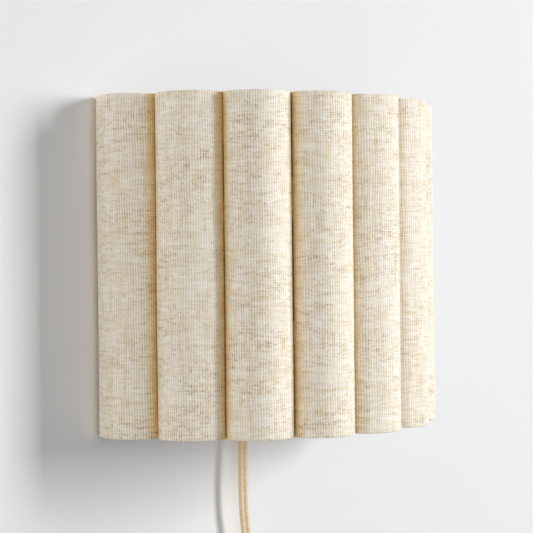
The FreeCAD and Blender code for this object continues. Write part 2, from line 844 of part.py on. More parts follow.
def make_lampholder():
    """Cap, barrel, shade ring, insulating core, threaded sleeve and centre contact."""
    cap = new_body("lampholder_cap", 0, -s.arm_reach, s.holder_base)
    r = s.holder_radius
    t = s.holder_wall
    h = s.holder_cap_height
    hub = s.arm_tube / 2 + s.thread_gap
    shell = new_sketch(cap, "XZ")
    draw_path(shell, [
        (hub, 0), (hub + 3 * t, 0), (r, s.holder_cap_shoulder), (r, h), (r - t, h),
        (r - t, s.holder_cap_shoulder + t / 2), (hub + 2 * t, h / 2), (hub, h / 2),
    ], {1: s.holder_cap_curve})
    turned(cap, shell)
    barrel = new_body("lampholder_barrel", 0, -s.arm_reach, barrel_base)
    top = s.holder_barrel_height
    shell = new_sketch(barrel, "XZ")
    draw_path(shell, [
        (r - t, 0), (r, 0), (r, top), (s.socket_radius + 2 * t, top),
        (s.socket_radius + 2 * t, top - t), (r - t, top - t),
    ])
    turned(barrel, shell)
    ring = new_body("lampholder_ring", 0, -s.arm_reach, barrel_base)
    collar = new_sketch(ring, "XY", top / 2)
    draw_circle(collar, 0, 0, s.holder_ring_radius)
    draw_circle(collar, 0, 0, r + s.thread_gap)
    pad(ring, collar, s.holder_ring_height)
    core = new_body("lampholder_core", 0, -s.arm_reach, barrel_base)
    body_radius = r - t - s.core_gap
    bore = s.socket_radius + s.sleeve_wall + s.thread_gap
    shell = new_sketch(core, "XZ")
    draw_path(shell, [
        (0, socket_floor / 2), (body_radius, socket_floor / 2), (body_radius, core_top),
        (bore, core_top), (bore, socket_floor), (0, socket_floor),
    ])
    turned(core, shell)
    passage = new_sketch(core, "XY", socket_floor / 2)
    for side in (-1, 1):
        draw_circle(passage, 0, side * (bore + s.lead_diameter), s.lead_diameter / 2 + s.core_gap)
    pocket(core, passage, s.socket_depth, back=True)
    sleeve = new_body("thread_sleeve", 0, -s.arm_reach, barrel_base)
    shell = new_sketch(sleeve, "XY", socket_floor + s.contact_height + s.core_gap)
    draw_circle(shell, 0, 0, s.socket_radius + s.sleeve_wall)
    draw_circle(shell, 0, 0, s.socket_radius)
    pad(sleeve, shell, s.socket_depth - s.contact_height - 2 * s.core_gap)
    contact = new_body("centre_contact", 0, -s.arm_reach, barrel_base)
    disc = new_sketch(contact, "XY", socket_floor)
    draw_circle(disc, 0, 0, s.socket_radius / 2)
    pad(contact, disc, s.contact_height)


# ---------------------------------------------------------------- bulb

bulb_tip_height = s.contact_height
bulb_insulator_height = 2 * s.contact_height
bulb_base = barrel_base + socket_floor + s.contact_height + s.bulb_gap
cap_base = bulb_base + bulb_tip_height + bulb_insulator_height
glass_base = cap_base + s.bulb_cap_length


def make_bulb():
    """Contact, insulator, screw cap with rolled threads, globe, stem and four filaments."""
    tip = new_body("bulb_contact", 0, -s.arm_reach, bulb_base)
    disc = new_sketch(tip, "XY")
    draw_circle(disc, 0, 0, s.bulb_cap_radius / 3)
    pad(tip, disc, bulb_tip_height)
    insulator = new_body("bulb_insulator", 0, -s.arm_reach, bulb_base + bulb_tip_height)
    cone = new_sketch(insulator, "XZ")
    draw_path(cone, [
        (0, 0), (s.bulb_cap_radius / 2, 0),
        (s.bulb_cap_foot_radius, bulb_insulator_height), (0, bulb_insulator_height),
    ])
    turned(insulator, cone)
    cap = new_body("bulb_cap", 0, -s.arm_reach, cap_base)
    r = s.bulb_cap_radius
    wave = s.bulb_thread_pitch
    depth = s.bulb_thread_depth
    dip = r - depth
    floor = s.bulb_cap_length - s.bulb_cap_floor
    corners = [(0, 0), (s.bulb_cap_foot_radius, 0), (dip, s.bulb_cap_foot)]
    bends = {}
    for i in range(SIZES["bulb_threads"]):
        bends[len(corners) - 1] = (wave * wave / 4 + depth * depth) / (2 * depth)
        corners.append((dip, s.bulb_cap_foot + (i + 1) * wave))
    corners += [(r, s.bulb_cap_length), (r - s.sleeve_wall, s.bulb_cap_length),
                (r - s.sleeve_wall, floor), (0, floor)]
    shell = new_sketch(cap, "XZ")
    draw_path(shell, corners, bends)
    turned(cap, shell)
    make_bulb_glass()
    make_filaments()


def globe_section(inset):
    """Outline of the globe and its neck at an inset inside the glass."""
    ball = s.bulb_globe_radius - inset
    neck = s.bulb_cap_radius - s.sleeve_wall - s.thread_gap - inset
    join_x = ball * cosine(s.bulb_neck_angle)
    join_y = s.bulb_globe_height - ball * sine(s.bulb_neck_angle)
    return ball, neck, join_x, join_y


def make_bulb_glass():
    """Blown globe with a neck that is cemented into the screw cap."""
    body = new_body("bulb_glass", 0, -s.arm_reach, glass_base)
    middle = s.bulb_globe_height
    ball, neck, join_x, join_y = globe_section(0)
    inner_ball, inner_neck, inner_x, inner_y = globe_section(s.bulb_glass)
    outline = new_sketch(body, "XZ")
    draw_path(outline, [
        (inner_neck, -s.bulb_seat), (neck, -s.bulb_seat), (neck, 0), (join_x, join_y),
        (ball, middle), (0, middle + ball), (0, middle + inner_ball),
        (inner_ball, middle), (inner_x, inner_y), (inner_neck, 0),
    ], {3: ball, 4: ball, 6: -inner_ball, 7: -inner_ball})
    turned(body, outline)


def make_filaments():
    """Glass stem in the neck, and upright filaments in a ring round it."""
    stem = new_body("bulb_stem", 0, -s.arm_reach, glass_base)
    outline = new_sketch(stem, "XZ")
    draw_path(outline, [
        (0, -s.bulb_seat), (s.bulb_stem_flare, -s.bulb_seat),
        (s.bulb_stem_radius, 3 * s.bulb_seat),
        (s.bulb_stem_radius, s.bulb_stem_height), (0, s.bulb_stem_height),
    ])
    turned(stem, outline)
    rods = []
    for i in range(SIZES["filaments"]):
        body = doc.addObject("PartDesign::Body", "Filament%d" % i)
        turn = 360 / s.filaments * (i + 0.5)
        place(body, s.filament_circle * cosine(turn),
              s.filament_circle * sine(turn) - s.arm_reach,
              glass_base + s.bulb_globe_height - s.filament_length / 2)
        sketch = new_sketch(body, "XY")
        draw_circle(sketch, 0, 0, s.filament_radius)
        pad(body, sketch, s.filament_length)
        rods.append(body)
    piece_group("led_filaments", rods)


# ---------------------------------------------------------------- cord: routes and tubes

def point(x, y, z):
    """Plain vector from sizes."""
    return FreeCAD.Vector(size(x).value, size(y).value, size(z).value)


BEND_SHARE = 0.45    # part of a straight run that the arc at each end takes


def rounded_route(label, points):
    """Straight runs joined by arcs as large as the runs allow."""
    edges = []
    radii = []
    start = points[0]
    for before, corner, after in zip(points, points[1:], points[2:]):
        come = corner - before
        go = after - corner
        run = min(come.Length, go.Length)
        half_turn = come.getAngle(go) / 2
        reach = BEND_SHARE * run
        come.normalize()
        go.normalize()
        enter = corner - come * reach
        leave = corner + go * reach
        radius = reach / math.tan(half_turn)
        radii.append(round(radius, 1))
        inwards = (go - come).normalize()
        middle = corner + inwards * (radius / math.cos(half_turn) - radius)
        edges.append(Part.LineSegment(start, enter).toShape())
        edges.append(Part.Arc(enter, middle, leave).toShape())
        start = leave
    edges.append(Part.LineSegment(start, points[-1]).toShape())
    print(label, "radii", radii)
    return Part.Wire(edges)


def slot_wire(centre, width, thickness):
    """Flat cord's section at a point, wide along X, in a level plane."""
    r = thickness / 2
    h = width / 2 - r
    at = lambda x, y: centre + FreeCAD.Vector(x, y, 0)
    return Part.Wire([
        Part.LineSegment(at(-h, -r), at(h, -r)).toShape(),
        Part.Arc(at(h, -r), at(h + r, 0), at(h, r)).toShape(),
        Part.LineSegment(at(h, r), at(-h, r)).toShape(),
        Part.Arc(at(-h, r), at(-h - r, 0), at(-h, -r)).toShape(),
    ])


def tube(label, route, section, area):
    """Solid of a section carried along a route, checked against area times length."""
    pipe = Part.BRepOffsetAPI.MakePipeShell(route)
    pipe.add(section)
    pipe.build()
    pipe.makeSolid()
    shape = pipe.shape()
    share = shape.Volume / (area * route.Length)
    print(label, "length", round(route.Length, 1), "volume share", round(share, 4))
    if abs(share - 1) > 0.02:
        raise RuntimeError(label + " isn't its section times its length")
    return shape


def keep_shape(label, shape):
    """Keeps a swept piece, which is drawn where it lies."""
    feature = doc.addObject("Part::Feature", "Tube_" + label)
    feature.Shape = shape
    feature.Placement = FreeCAD.Placement()
    return keep(feature, label)


cord_width = s.cord_width.value
cord_thickness = s.cord_thickness.value
cord_area = ((cord_width - cord_thickness) * cord_thickness
             + math.pi * cord_thickness ** 2 / 4)
cord_top = canopy_floor + s.canopy_wall + s.gland_nut_height + s.cord_tail_inside / 2
switch_top = s.switch_length / 2 - s.switch_drop
switch_foot = -s.switch_length / 2 - s.switch_drop
entry = s.switch_wall * 1.5
plug_x = s.coil_layer
y_high = -s.cord_from_wall
y_low = -s.cord_low_from_wall


def flat_cord(label, points):
    """Length of the flat cord through hand-placed points."""
    route = rounded_route(label, points) if len(points) > 2 else Part.Wire(
        [Part.LineSegment(*points).toShape()])
    section = slot_wire(points[0], cord_width, cord_thickness)
    keep_shape(label, tube(label, route, section, cord_area))


def make_cord_runs():
    """Gland to switch, switch to coil, and coil to plug."""
    flat_cord("supply_cord", [
        point(0, y_high, cord_top),
        point(0, y_high, -s.cord_sags_from),
        point(0, y_low + s.cord_sag_left, -s.cord_sags_by),
        point(0, y_low, -s.cord_settles_by),
        point(0, y_low, switch_top - entry),
    ])
    flat_cord("switch_lead", [
        point(0, y_low, switch_foot + entry),
        point(0, y_low, s.cord_width - s.coil_drop),
    ])
    flat_cord("plug_lead", [
        point(plug_x, y_low, -s.coil_drop - s.cord_width),
        point(plug_x, y_low, -s.plug_drop),
    ])


CLIMB_TURNS = 0.5    # the coil climbs to its second layer over this part of a turn


def coil_point(turns):
    """Centre line of the coil after a number of turns, starting next to the wall."""
    middle = s.coil_turns.value / 2
    share = min(max((turns - middle) / CLIMB_TURNS + 0.5, 0.0), 1.0)
    layer = s.coil_layer.value * share * share * (3 - 2 * share)
    radius = s.coil_radius.value - s.coil_pitch.value * (middle - abs(turns - middle))
    angle = 2 * math.pi * turns
    return FreeCAD.Vector(
        layer,
        -s.cord_low_from_wall.value - s.coil_radius.value + radius * math.cos(angle),
        -s.coil_drop.value - radius * math.sin(angle))


def coil_heading(turns):
    """Direction of the coil's centre line."""
    step = 1e-4
    return (coil_point(turns + step) - coil_point(turns - step)).normalize()


def two_arcs(a, heading_a, b, heading_b):
    """Two arcs that leave a along one heading and reach b along the other."""
    v = b - a
    both = heading_a + heading_b
    spread = 2 * (1 - heading_a.dot(heading_b))
    along = v.dot(both)
    reach = (math.sqrt(along ** 2 + spread * v.dot(v)) - along) / spread
    knee_a = a + heading_a * reach
    knee_b = b - heading_b * reach
    join = (knee_a + knee_b) * 0.5
    return [bent_edge(a, knee_a, join), bent_edge(join, knee_b, b)]


def bent_edge(a, knee, b):
    """Arc from a to b whose tangents meet at the knee."""
    chord = (a + b) * 0.5
    half = (b - a).Length / 2
    turn = (b - a).getAngle(knee - a)
    rise = half * math.tan(turn / 2)
    return Part.Arc(a, chord + (knee - chord).normalize() * rise, b).toShape()


def make_cord_coil():
    """Unseen length in one piece: a spiral in, a climb to the next layer, a spiral out."""
    total = s.coil_turns.value
    quarters = round(total * 4)
    down = FreeCAD.Vector(0, 0, -1)
    stations = [(coil_point(i / 4), coil_heading(i / 4)) for i in range(quarters + 1)]
    stations[0] = (stations[0][0], down)
    stations[-1] = (stations[-1][0], down)
    start, finish = stations[0][0], stations[-1][0]
    end_run = down * cord_width
    edges = [Part.LineSegment(start - end_run, start).toShape()]
    for (a, heading_a), (b, heading_b) in zip(stations, stations[1:]):
        edges += two_arcs(a, heading_a, b, heading_b)
    edges.append(Part.LineSegment(finish, finish + end_run).toShape())
    route = Part.Wire(edges)
    section = slot_wire(start - end_run, cord_width, cord_thickness)
    keep_shape("cord_coil", tube("cord_coil", route, section, cord_area))
    print("cord_coil least gap", round(coil_gap(total), 2))


def coil_gap(total):
    """Least clear space between the round-edged sections of two turns."""
    steps = 48
    points = [coil_point(i / steps) for i in range(int(total * steps) + 1)]
    least = math.inf
    for i, a in enumerate(points):
        for b in points[i + steps // 2:]:
            beside = max(abs(a.x - b.x) - cord_width + cord_thickness, 0)
            across = math.hypot(a.y - b.y, a.z - b.z)
            least = min(least, math.hypot(beside, across) - cord_thickness)
    return least


def make_cord_tie():
    """Strap round all the turns at the top of the coil."""
    middle = s.cord_low_from_wall + s.coil_radius
    body = new_body("cord_tie", s.coil_layer / 2, -middle, -s.coil_drop)
    inner = (s.coil_radius - s.coil_pitch * s.coil_turns / 2
             - s.cord_thickness / 2 - s.tie_gap)
    outer = s.coil_radius - s.coil_pitch / 4 + s.cord_thickness / 2 + s.tie_gap
    half = s.coil_layer / 2 + s.cord_width / 2 + s.tie_gap
    t = s.tie_thickness
    sketch = new_sketch(body, "XZ")
    draw_box(sketch, -half - t, inner - t, half + t, outer + t, t * 2.5)
    draw_box(sketch, -half, inner, half, outer, t * 1.5)
    pad(body, sketch, s.tie_width, both=True)


# ---------------------------------------------------------------- switch on the cord

def make_switch():
    """Two shells that part in a plane along the wall, with a rocker on a pin between."""
    middle = (0, y_low, -s.switch_drop)
    w = s.switch_width / 2
    h = s.switch_length / 2
    d = s.switch_depth / 2
    t = s.switch_wall
    rocker_half = s.rocker_length / 2
    rise = d - s.pivot_depth
    reach = root(rocker_half * rocker_half + s.pivot_depth * s.pivot_depth * 2)
    opening = reach + s.rocker_gap
    boss_x = w - s.switch_boss_inset
    lug_x = s.rocker_width / 2 + s.rocker_gap
    for label, front in (("switch_front", True), ("switch_back", False)):
        shell = new_body(label, *middle)
        outside = new_sketch(shell, "XZ")
        draw_box(outside, -w, -h, w, h, s.switch_corner)
        pad(shell, outside, d, back=not front)
        inside = new_sketch(shell, "XZ")
        draw_box(inside, t - w, t - h, w - t, h - t, s.switch_corner - t)
        pocket(shell, inside, d - t, back=front)
        if front:
            window = new_sketch(shell, "XZ", d)
            draw_box(window, -lug_x, -opening, lug_x, opening)
            pocket(shell, window, 2 * t)
            lugs = new_sketch(shell, "XZ", d)
            for side in (-1, 1):
                draw_box(lugs, side * lug_x, -s.lug_height,
                         side * (lug_x + s.lug_thickness), s.lug_height)
            pad(shell, lugs, s.pivot_depth + s.lug_height, back=True)
            pin_hole = new_sketch(shell, "YZ")
            draw_circle(pin_hole, -rise, 0, s.pivot_diameter / 2)
            pocket(shell, pin_hole, 2 * (lug_x + s.lug_thickness), both=True)
        bosses = new_sketch(shell, "XZ")
        for side in (-1, 1):
            draw_circle(bosses, boss_x, side * s.switch_screw_spacing / 2, s.switch_boss / 2)
        pad(shell, bosses, d - t / 2, back=not front)
        holes = new_sketch(shell, "XZ")
        for side in (-1, 1):
            draw_circle(holes, boss_x, side * s.switch_screw_spacing / 2,
                        s.switch_screw / 2 + s.thread_gap)
        pocket(shell, holes, d - 2 * t if front else s.switch_depth, back=front)
        entries = new_sketch(shell, "XY")
        draw_slot(entries, 0, 0, s.cord_width - 2 * s.cord_grip,
                  s.cord_thickness - 2 * s.cord_grip)
        pocket(shell, entries, s.switch_length * 2, both=True)
    make_rocker(middle, rise)
    make_switch_fixings(middle)


def make_rocker(middle, rise):
    """Rocker resting tipped to one side on its pin."""
    length = s.rocker_length / 2
    lip = s.pivot_depth + s.rocker_dish
    dish = s.pivot_depth - s.rocker_dish
    rocker = new_body("switch_rocker", 0, y_low - rise, -s.switch_drop)
    tilt = s.rocker_tilt
    rocker.Placement.Rotation = FreeCAD.Rotation(FreeCAD.Vector(1, 0, 0), tilt.value)
    bind(rocker, "Placement.Rotation.Angle", tilt)
    sketch = new_sketch(rocker, "YZ")
    draw_path(sketch, [
        (-lip, length), (-dish, 0), (-lip, -length), (s.pivot_depth / 2, -s.rocker_heel),
        (s.pivot_depth, 0), (s.pivot_depth / 2, s.rocker_heel),
    ])
    pad(rocker, sketch, s.rocker_width, both=True)
    bore = new_sketch(rocker, "YZ")
    draw_circle(bore, 0, 0, s.pivot_diameter / 2 + s.thread_gap)
    pocket(rocker, bore, s.rocker_width * 2, both=True)
    pin = new_body("rocker_pin", 0, y_low - rise, -s.switch_drop)
    rod = new_sketch(pin, "YZ")
    draw_circle(rod, 0, 0, s.pivot_diameter / 2)
    pad(pin, rod, s.rocker_width + 2 * (s.rocker_gap + s.lug_thickness), both=True)


def make_switch_fixings(middle):
    """Two screws from the back, and the two brass contact strips on the back shell."""
    screws = []
    strips = []
    inner_back = s.switch_depth / 2 - s.switch_wall
    boss_x = s.switch_width / 2 - s.switch_boss_inset
    for name, side in (("Upper", 1), ("Lower", -1)):
        z = -s.switch_drop + side * s.switch_screw_spacing / 2
        screw = doc.addObject("PartDesign::Body", name + "SwitchScrew")
        place(screw, boss_x, y_low + s.switch_depth / 2, z)
        shank = new_sketch(screw, "XZ")
        draw_circle(shank, 0, 0, s.switch_screw / 2)
        pad(screw, shank, s.switch_depth - 3 * s.switch_wall)
        screws.append(screw)
        strip = doc.addObject("PartDesign::Body", name + "Contact")
        place(strip, 0, y_low + inner_back, -s.switch_drop + side * s.rocker_length / 2)
        block = new_sketch(strip, "XZ")
        draw_box(block, -s.cord_thickness / 2, -s.rocker_width / 4,
                 s.cord_thickness / 2, s.rocker_width / 4)
        pad(strip, block, s.pivot_diameter)
        strips.append(strip)
    piece_group("switch_screws", screws)
    piece_group("switch_contacts", strips)


# ---------------------------------------------------------------- plug

def loft_sections(label, x, y, z, sections):
    """Body lofted through rounded rectangles at levels above its own origin."""
    body = new_body(label, x, y, z)
    sketches = []
    for level, width, thickness, corner in sections:
        sketch = new_sketch(body, "XY", level)
        draw_box(sketch, -width / 2, -thickness / 2, width / 2, thickness / 2, corner)
        sketches.append(sketch)
    doc.recompute()
    feature = body.newObject("PartDesign::AdditiveLoft", body.Name + "_loft")
    feature.Profile = sketches[0]
    feature.Sections = sketches[1:]
    feature.Ruled = True
    doc.recompute()
    return body


def make_plug():
    """Slim two-pin plug, hanging pins down beside the coil."""
    z = -s.plug_drop
    body = loft_sections("plug_body", plug_x, y_low, z, [
        (size(0), s.plug_top_width, s.plug_top_thickness, s.plug_top_corner),
        (-s.plug_shoulder, s.plug_shoulder_width, s.plug_shoulder_thickness, s.plug_corner),
        (-s.plug_body, s.plug_width, s.plug_thickness, s.plug_corner),
    ])
    sockets = new_sketch(body, "XY", -s.plug_body)
    for side in (-1, 1):
        draw_circle(sockets, side * s.pin_spacing / 2, 0, s.pin_diameter / 2 - s.pin_neck_step)
    pocket(body, sockets, s.pin_root, back=True)
    relief = loft_sections("plug_relief", plug_x, y_low, z, [
        (size(0), s.relief_foot_width, s.relief_foot_thickness, s.relief_foot_corner),
        (s.plug_relief, s.relief_top_width, s.relief_top_thickness, s.relief_top_corner),
    ])
    bore = new_sketch(relief, "XY")
    draw_slot(bore, 0, 0, s.cord_width - 2 * s.cord_grip, s.cord_thickness - 2 * s.cord_grip)
    pocket(relief, bore, s.plug_relief * 3, both=True)
    pins = []
    for name, side in (("Left", -1), ("Right", 1)):
        pin = doc.addObject("PartDesign::Body", name + "Pin")
        place(pin, plug_x + side * s.pin_spacing / 2, y_low, z - s.plug_body)
        r = s.pin_diameter / 2
        neck = r - s.pin_neck_step
        outline = new_sketch(pin, "XZ")
        draw_path(outline, [
            (0, s.pin_root), (0, -s.pin_length), (r - s.pin_tip, -s.pin_length),
            (r, s.pin_tip - s.pin_length), (r, -s.pin_neck), (neck, -s.pin_neck),
            (neck, s.pin_root),
        ], {2: s.pin_tip})
        turned(pin, outline)
        pins.append(pin)
    piece_group("plug_pins", pins)


# ---------------------------------------------------------------- leads in canopy and arm

def round_tube(label, points, radius):
    """Round insulated wire through hand-placed points."""
    route = rounded_route(label, points)
    heading = points[1] - points[0]
    ring = Part.Wire([Part.Circle(points[0], heading, radius).toShape()])
    return tube(label, route, ring, math.pi * radius ** 2)


def make_leads():
    """Two wires from the cord to the terminals, and two on through the arm."""
    radius = s.lead_diameter.value / 2
    apart = (s.cord_width - s.cord_thickness) / 2
    terminal_y = -s.plate_thickness - s.block_depth / 2
    below = -s.block_drop - s.block_height / 2
    above = -s.block_drop + s.block_height / 2
    inside = s.lead_diameter
    supply = []
    lamp = []
    for side in (-1, 1):
        x = s.block_side + side * s.block_width / 4
        supply.append(round_tube("supply_leads", [
            point(side * apart, y_high, cord_top),
            point(side * apart, y_high, cord_top + s.lead_start),
            point(x, (y_high + terminal_y) / 2, below - s.lead_bend_low),
            point(x, terminal_y, below - s.lead_bend_high),
            point(x, terminal_y, below + inside),
        ], radius))
        tight = side * s.lead_apart
        rise = above + s.lead_over_block + (side + 1) / 2 * s.lead_crossing
        down_y = terminal_y - s.lead_diameter
        beside_socket = side * (
            s.socket_radius + s.sleeve_wall + s.thread_gap + s.lead_diameter) - s.arm_reach
        lamp.append(round_tube("lamp_leads", [
            point(x, terminal_y, above - inside),
            point(x, terminal_y, rise),
            point(side * s.block_width / 4, down_y, rise + s.contact_height),
            point(tight, down_y, s.lead_entry - s.arm_drop),
            point(tight, down_y, -s.arm_drop),
            point(tight, -s.arm_reach, -s.arm_drop),
            point(tight, -s.arm_reach, arm_end + 1),
            point(0, beside_socket, barrel_base - 1),
            point(0, beside_socket, barrel_base + socket_floor / 2),
        ], radius))
    keep_shape("supply_leads", Part.Compound(supply))
    keep_shape("lamp_leads", Part.Compound(lamp))


# ---------------------------------------------------------------- build, check and write

make_shade_fabric()
make_shade_liner()
make_wire_frame()
make_wall_plate()
make_shade_hooks()
make_canopy()
make_canopy_fixings()
make_terminal_block()
make_cord_gland()
make_arm()
make_lampholder()
make_bulb()
make_cord_runs()
make_cord_coil()
make_cord_tie()
make_switch()
make_plug()
make_leads()
doc.recompute()

for thing in doc.Objects:
    if "Invalid" in thing.State or "Error" in thing.State:
        raise RuntimeError(thing.Name + " failed")
for piece in PARTS:
    shape = piece.Shape
    if shape.isNull() or not shape.isValid() or not shape.Solids:
        raise RuntimeError(piece.Label + " has no valid solid")

os.makedirs("parts", exist_ok=True)
for piece in PARTS:
    piece.Shape.exportStep("parts/" + piece.Label + ".step")
    print(piece.Label, len(piece.Shape.Solids), "solids", round(piece.Shape.Volume, 1), "mm3")
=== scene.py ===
# %% [markdown]
# # A fabric shade wall light
# A half drum of upright linen lobes hangs on a wall plate, a small globe bulb stands behind it,
# and a flat textile cord runs down the wall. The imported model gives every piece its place.
# This lesson loads it as a fixed frame, then dresses it: cloth for the shade, braid for the
# cord, and a finish made from nodes for each of the hard pieces.

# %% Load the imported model
import math

import bmesh
import bpy
from mathutils import Matrix, Quaternion, Vector


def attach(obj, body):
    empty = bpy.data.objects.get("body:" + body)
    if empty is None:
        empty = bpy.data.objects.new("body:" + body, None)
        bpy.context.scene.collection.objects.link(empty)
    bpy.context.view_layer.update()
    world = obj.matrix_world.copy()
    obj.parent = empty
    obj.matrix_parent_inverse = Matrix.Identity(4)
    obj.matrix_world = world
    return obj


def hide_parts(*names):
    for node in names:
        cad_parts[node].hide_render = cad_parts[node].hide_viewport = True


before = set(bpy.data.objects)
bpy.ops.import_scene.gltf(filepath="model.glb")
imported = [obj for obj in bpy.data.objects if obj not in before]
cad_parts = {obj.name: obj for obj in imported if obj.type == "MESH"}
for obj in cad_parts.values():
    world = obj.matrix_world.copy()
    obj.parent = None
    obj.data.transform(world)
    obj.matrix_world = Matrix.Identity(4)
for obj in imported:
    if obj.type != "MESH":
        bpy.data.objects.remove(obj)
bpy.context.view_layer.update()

# %% [markdown]
# ## Small helpers
# Colours are written as sRGB hex values, the way a designer notes them, and Blender's sockets
# take linear light, so one function turns one into the other. A second adds a node with its
# settings and links, which keeps each finish as short as its recipe. Lengths in patterns are
# given in millimetres and turned to metres, because every object here is in metres.

# %% Colour, node and mesh helpers
MM = 0.001


def linear(hex_colour):
    """sRGB hex, such as 'e6dcc8', as the linear RGBA of a socket."""
    parts = [int(hex_colour[i:i + 2], 16) / 255 for i in (0, 2, 4)]
    return [c / 12.92 if c <= 0.04045 else ((c + 0.055) / 1.055) ** 2.4 for c in parts] + [1.0]


def add_node(tree, kind, sockets=None, **settings):
    """Adds a node; each socket is given a value, or another node's socket that feeds it."""
    made = tree.nodes.new("ShaderNode" + kind)
    for name, value in settings.items():
        setattr(made, name, value)
    for name, value in (sockets or {}).items():
        if isinstance(value, bpy.types.NodeSocket):
            tree.links.new(value, made.inputs[name])
        else:
            made.inputs[name].default_value = value
    return made


def new_material(name):
    """An empty finish: its node tree and its Principled shader."""
    made = bpy.data.materials.new(name)
    made.use_nodes = True
    return made, made.node_tree, made.node_tree.nodes["Principled BSDF"]


def finish_node(name, material):
    """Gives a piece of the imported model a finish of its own."""
    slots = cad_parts[name].data.materials
    slots.clear()
    slots.append(material)


def mesh_piece(name, points, faces, smooth=True):
    """A mesh object from points in metres and faces."""
    mesh = bpy.data.meshes.new(name)
    mesh.from_pydata([tuple(p) for p in points], [], faces)
    mesh.validate()
    mesh.polygons.foreach_set("use_smooth", [smooth] * len(mesh.polygons))
    made = bpy.data.objects.new(name, mesh)
    bpy.context.scene.collection.objects.link(made)
    return made


# %% [markdown]
# ## The camera
# The photograph was taken level with the middle of the shade, from the left, from a bit over a
# metre away with a long lens. The camera stands where the creases of the shade and its top and
# bottom edges fall within a few pixels of where the photograph has them.

# %% Stand the camera where the photograph was taken
PHOTO_PIXELS = 533
FOCAL_PIXELS = 1745.9
CAMERA_TURN = 47.70           # degrees to the left of the wall's normal
CAMERA_DISTANCE = 1.3409
CAMERA_HEIGHT = 3.1 * MM
CAMERA_HEADING = 48.816       # degrees from the wall's normal, a little right of the shade's axis
CAMERA_DIP = 0.20
CAMERA_ROLL = 0.60

turn = math.radians(CAMERA_TURN)
heading = math.radians(CAMERA_HEADING)
dip = math.radians(CAMERA_DIP)
roll = math.radians(CAMERA_ROLL)
level_ahead = Vector((math.sin(heading), math.cos(heading), 0))
right = Vector((math.cos(heading), -math.sin(heading), 0))
upright = Vector((0, 0, 1))
ahead = level_ahead * math.cos(dip) - upright * math.sin(dip)
lifted = upright * math.cos(dip) + level_ahead * math.sin(dip)
camera_right = right * math.cos(roll) - lifted * math.sin(roll)
camera_up = lifted * math.cos(roll) + right * math.sin(roll)

camera = bpy.data.objects.new("camera", bpy.data.cameras.new("camera"))
bpy.context.scene.collection.objects.link(camera)
camera.matrix_world = Matrix.Translation(
    (-CAMERA_DISTANCE * math.sin(turn), -CAMERA_DISTANCE * math.cos(turn), CAMERA_HEIGHT)
) @ Matrix((camera_right, camera_up, -ahead)).transposed().to_4x4()
camera.data.sensor_width = 36.0
camera.data.lens = FOCAL_PIXELS / PHOTO_PIXELS * camera.data.sensor_width
camera.data.clip_start = 0.02
camera.data.clip_end = 50.0
bpy.context.scene.camera = camera

# %% [markdown]
# ## The wall and the light
# The object hangs on a plain white wall. A tall, fairly narrow key lamp stands far to the right,
# so the shade's shadow falls to the left with soft edges. A large fill lamp on the camera's side
# and a faint world light reach what the key doesn't. Three more lamps each light only some of it:
# a wall lamp in the key's place lifts the wall, and a front and a side lamp lift the cloth and the
# cord. Their levels were set by comparing this one view with the photograph. The wall is seen
# from its front only: from behind it lets the camera through, so that the back of the light can
# be looked at, with a weak back lamp to see it by.

# %% Plain wall
wall_paint, tree, shader = new_material("matt_wall_paint")
shader.inputs["Base Color"].default_value = linear("fbfcfd")
shader.inputs["Roughness"].default_value = 0.9
shader.inputs["Specular IOR Level"].default_value = 0.2
see_through = add_node(tree, "BsdfTransparent")
side = add_node(tree, "NewGeometry")
either = add_node(tree, "MixShader", {
    0: side.outputs["Backfacing"], 1: shader.outputs[0], 2: see_through.outputs[0]})
tree.links.new(either.outputs[0], tree.nodes["Material Output"].inputs["Surface"])

WALL_HALF = 4.0
WALL_FACE = 0.3 * MM
wall = mesh_piece("wall", [
    (-WALL_HALF, WALL_FACE, -WALL_HALF), (WALL_HALF, WALL_FACE, -WALL_HALF),
    (WALL_HALF, WALL_FACE, WALL_HALF), (-WALL_HALF, WALL_FACE, WALL_HALF)], [(0, 1, 2, 3)], False)
wall.data.materials.append(wall_paint)
wall.visible_shadow = False

# %% Lamps and world
LIGHT_CENTRE = Vector((0, -0.06, 0))
KEY_PLACE = (42.3, 11, 5.0, 0.92, 1.9)     # azimuth, elevation, distance, width and height
WORLD_LIGHT = 0.26                         # what the world gives to the object and the wall
WORLD_SEEN = 0.95                          # what the camera sees of it, also in metal and glass


def lamp(name, azimuth, elevation, distance, width, height, level):
    """A soft rectangular lamp that lights a white surface facing it to the given level."""
    data = bpy.data.lights.new(name, "AREA")
    data.shape = "RECTANGLE"
    data.size = width
    data.size_y = height
    data.energy = level * math.pi ** 2 * distance ** 2
    made = bpy.data.objects.new(name, data)
    a, e = math.radians(azimuth), math.radians(elevation)
    away = Vector((math.sin(a) * math.cos(e), -math.cos(a) * math.cos(e), math.sin(e)))
    made.location = LIGHT_CENTRE + away * distance
    made.rotation_euler = away.to_track_quat("Z", "Y").to_euler()
    made.visible_camera = False
    bpy.context.scene.collection.objects.link(made)
    return made


lamp("key_lamp", *KEY_PLACE, 0.56)
wall_lamp = lamp("wall_lamp", *KEY_PLACE, 0.13)
lamp("fill_lamp", -28, -4, 2.8, 1.8, 1.8, 0.12)
lamp("back_lamp", 180, 30, 2.5, 1.2, 1.2, 0.12)
front_lamp = lamp("front_lamp", 26, 6, 3.0, 0.32, 0.8, 0.42)
front_lamp.data.color = (0.92, 1.0, 1.1)
side_lamp = lamp("side_lamp", -78, 0, 2.6, 1.4, 1.4, 0.25)

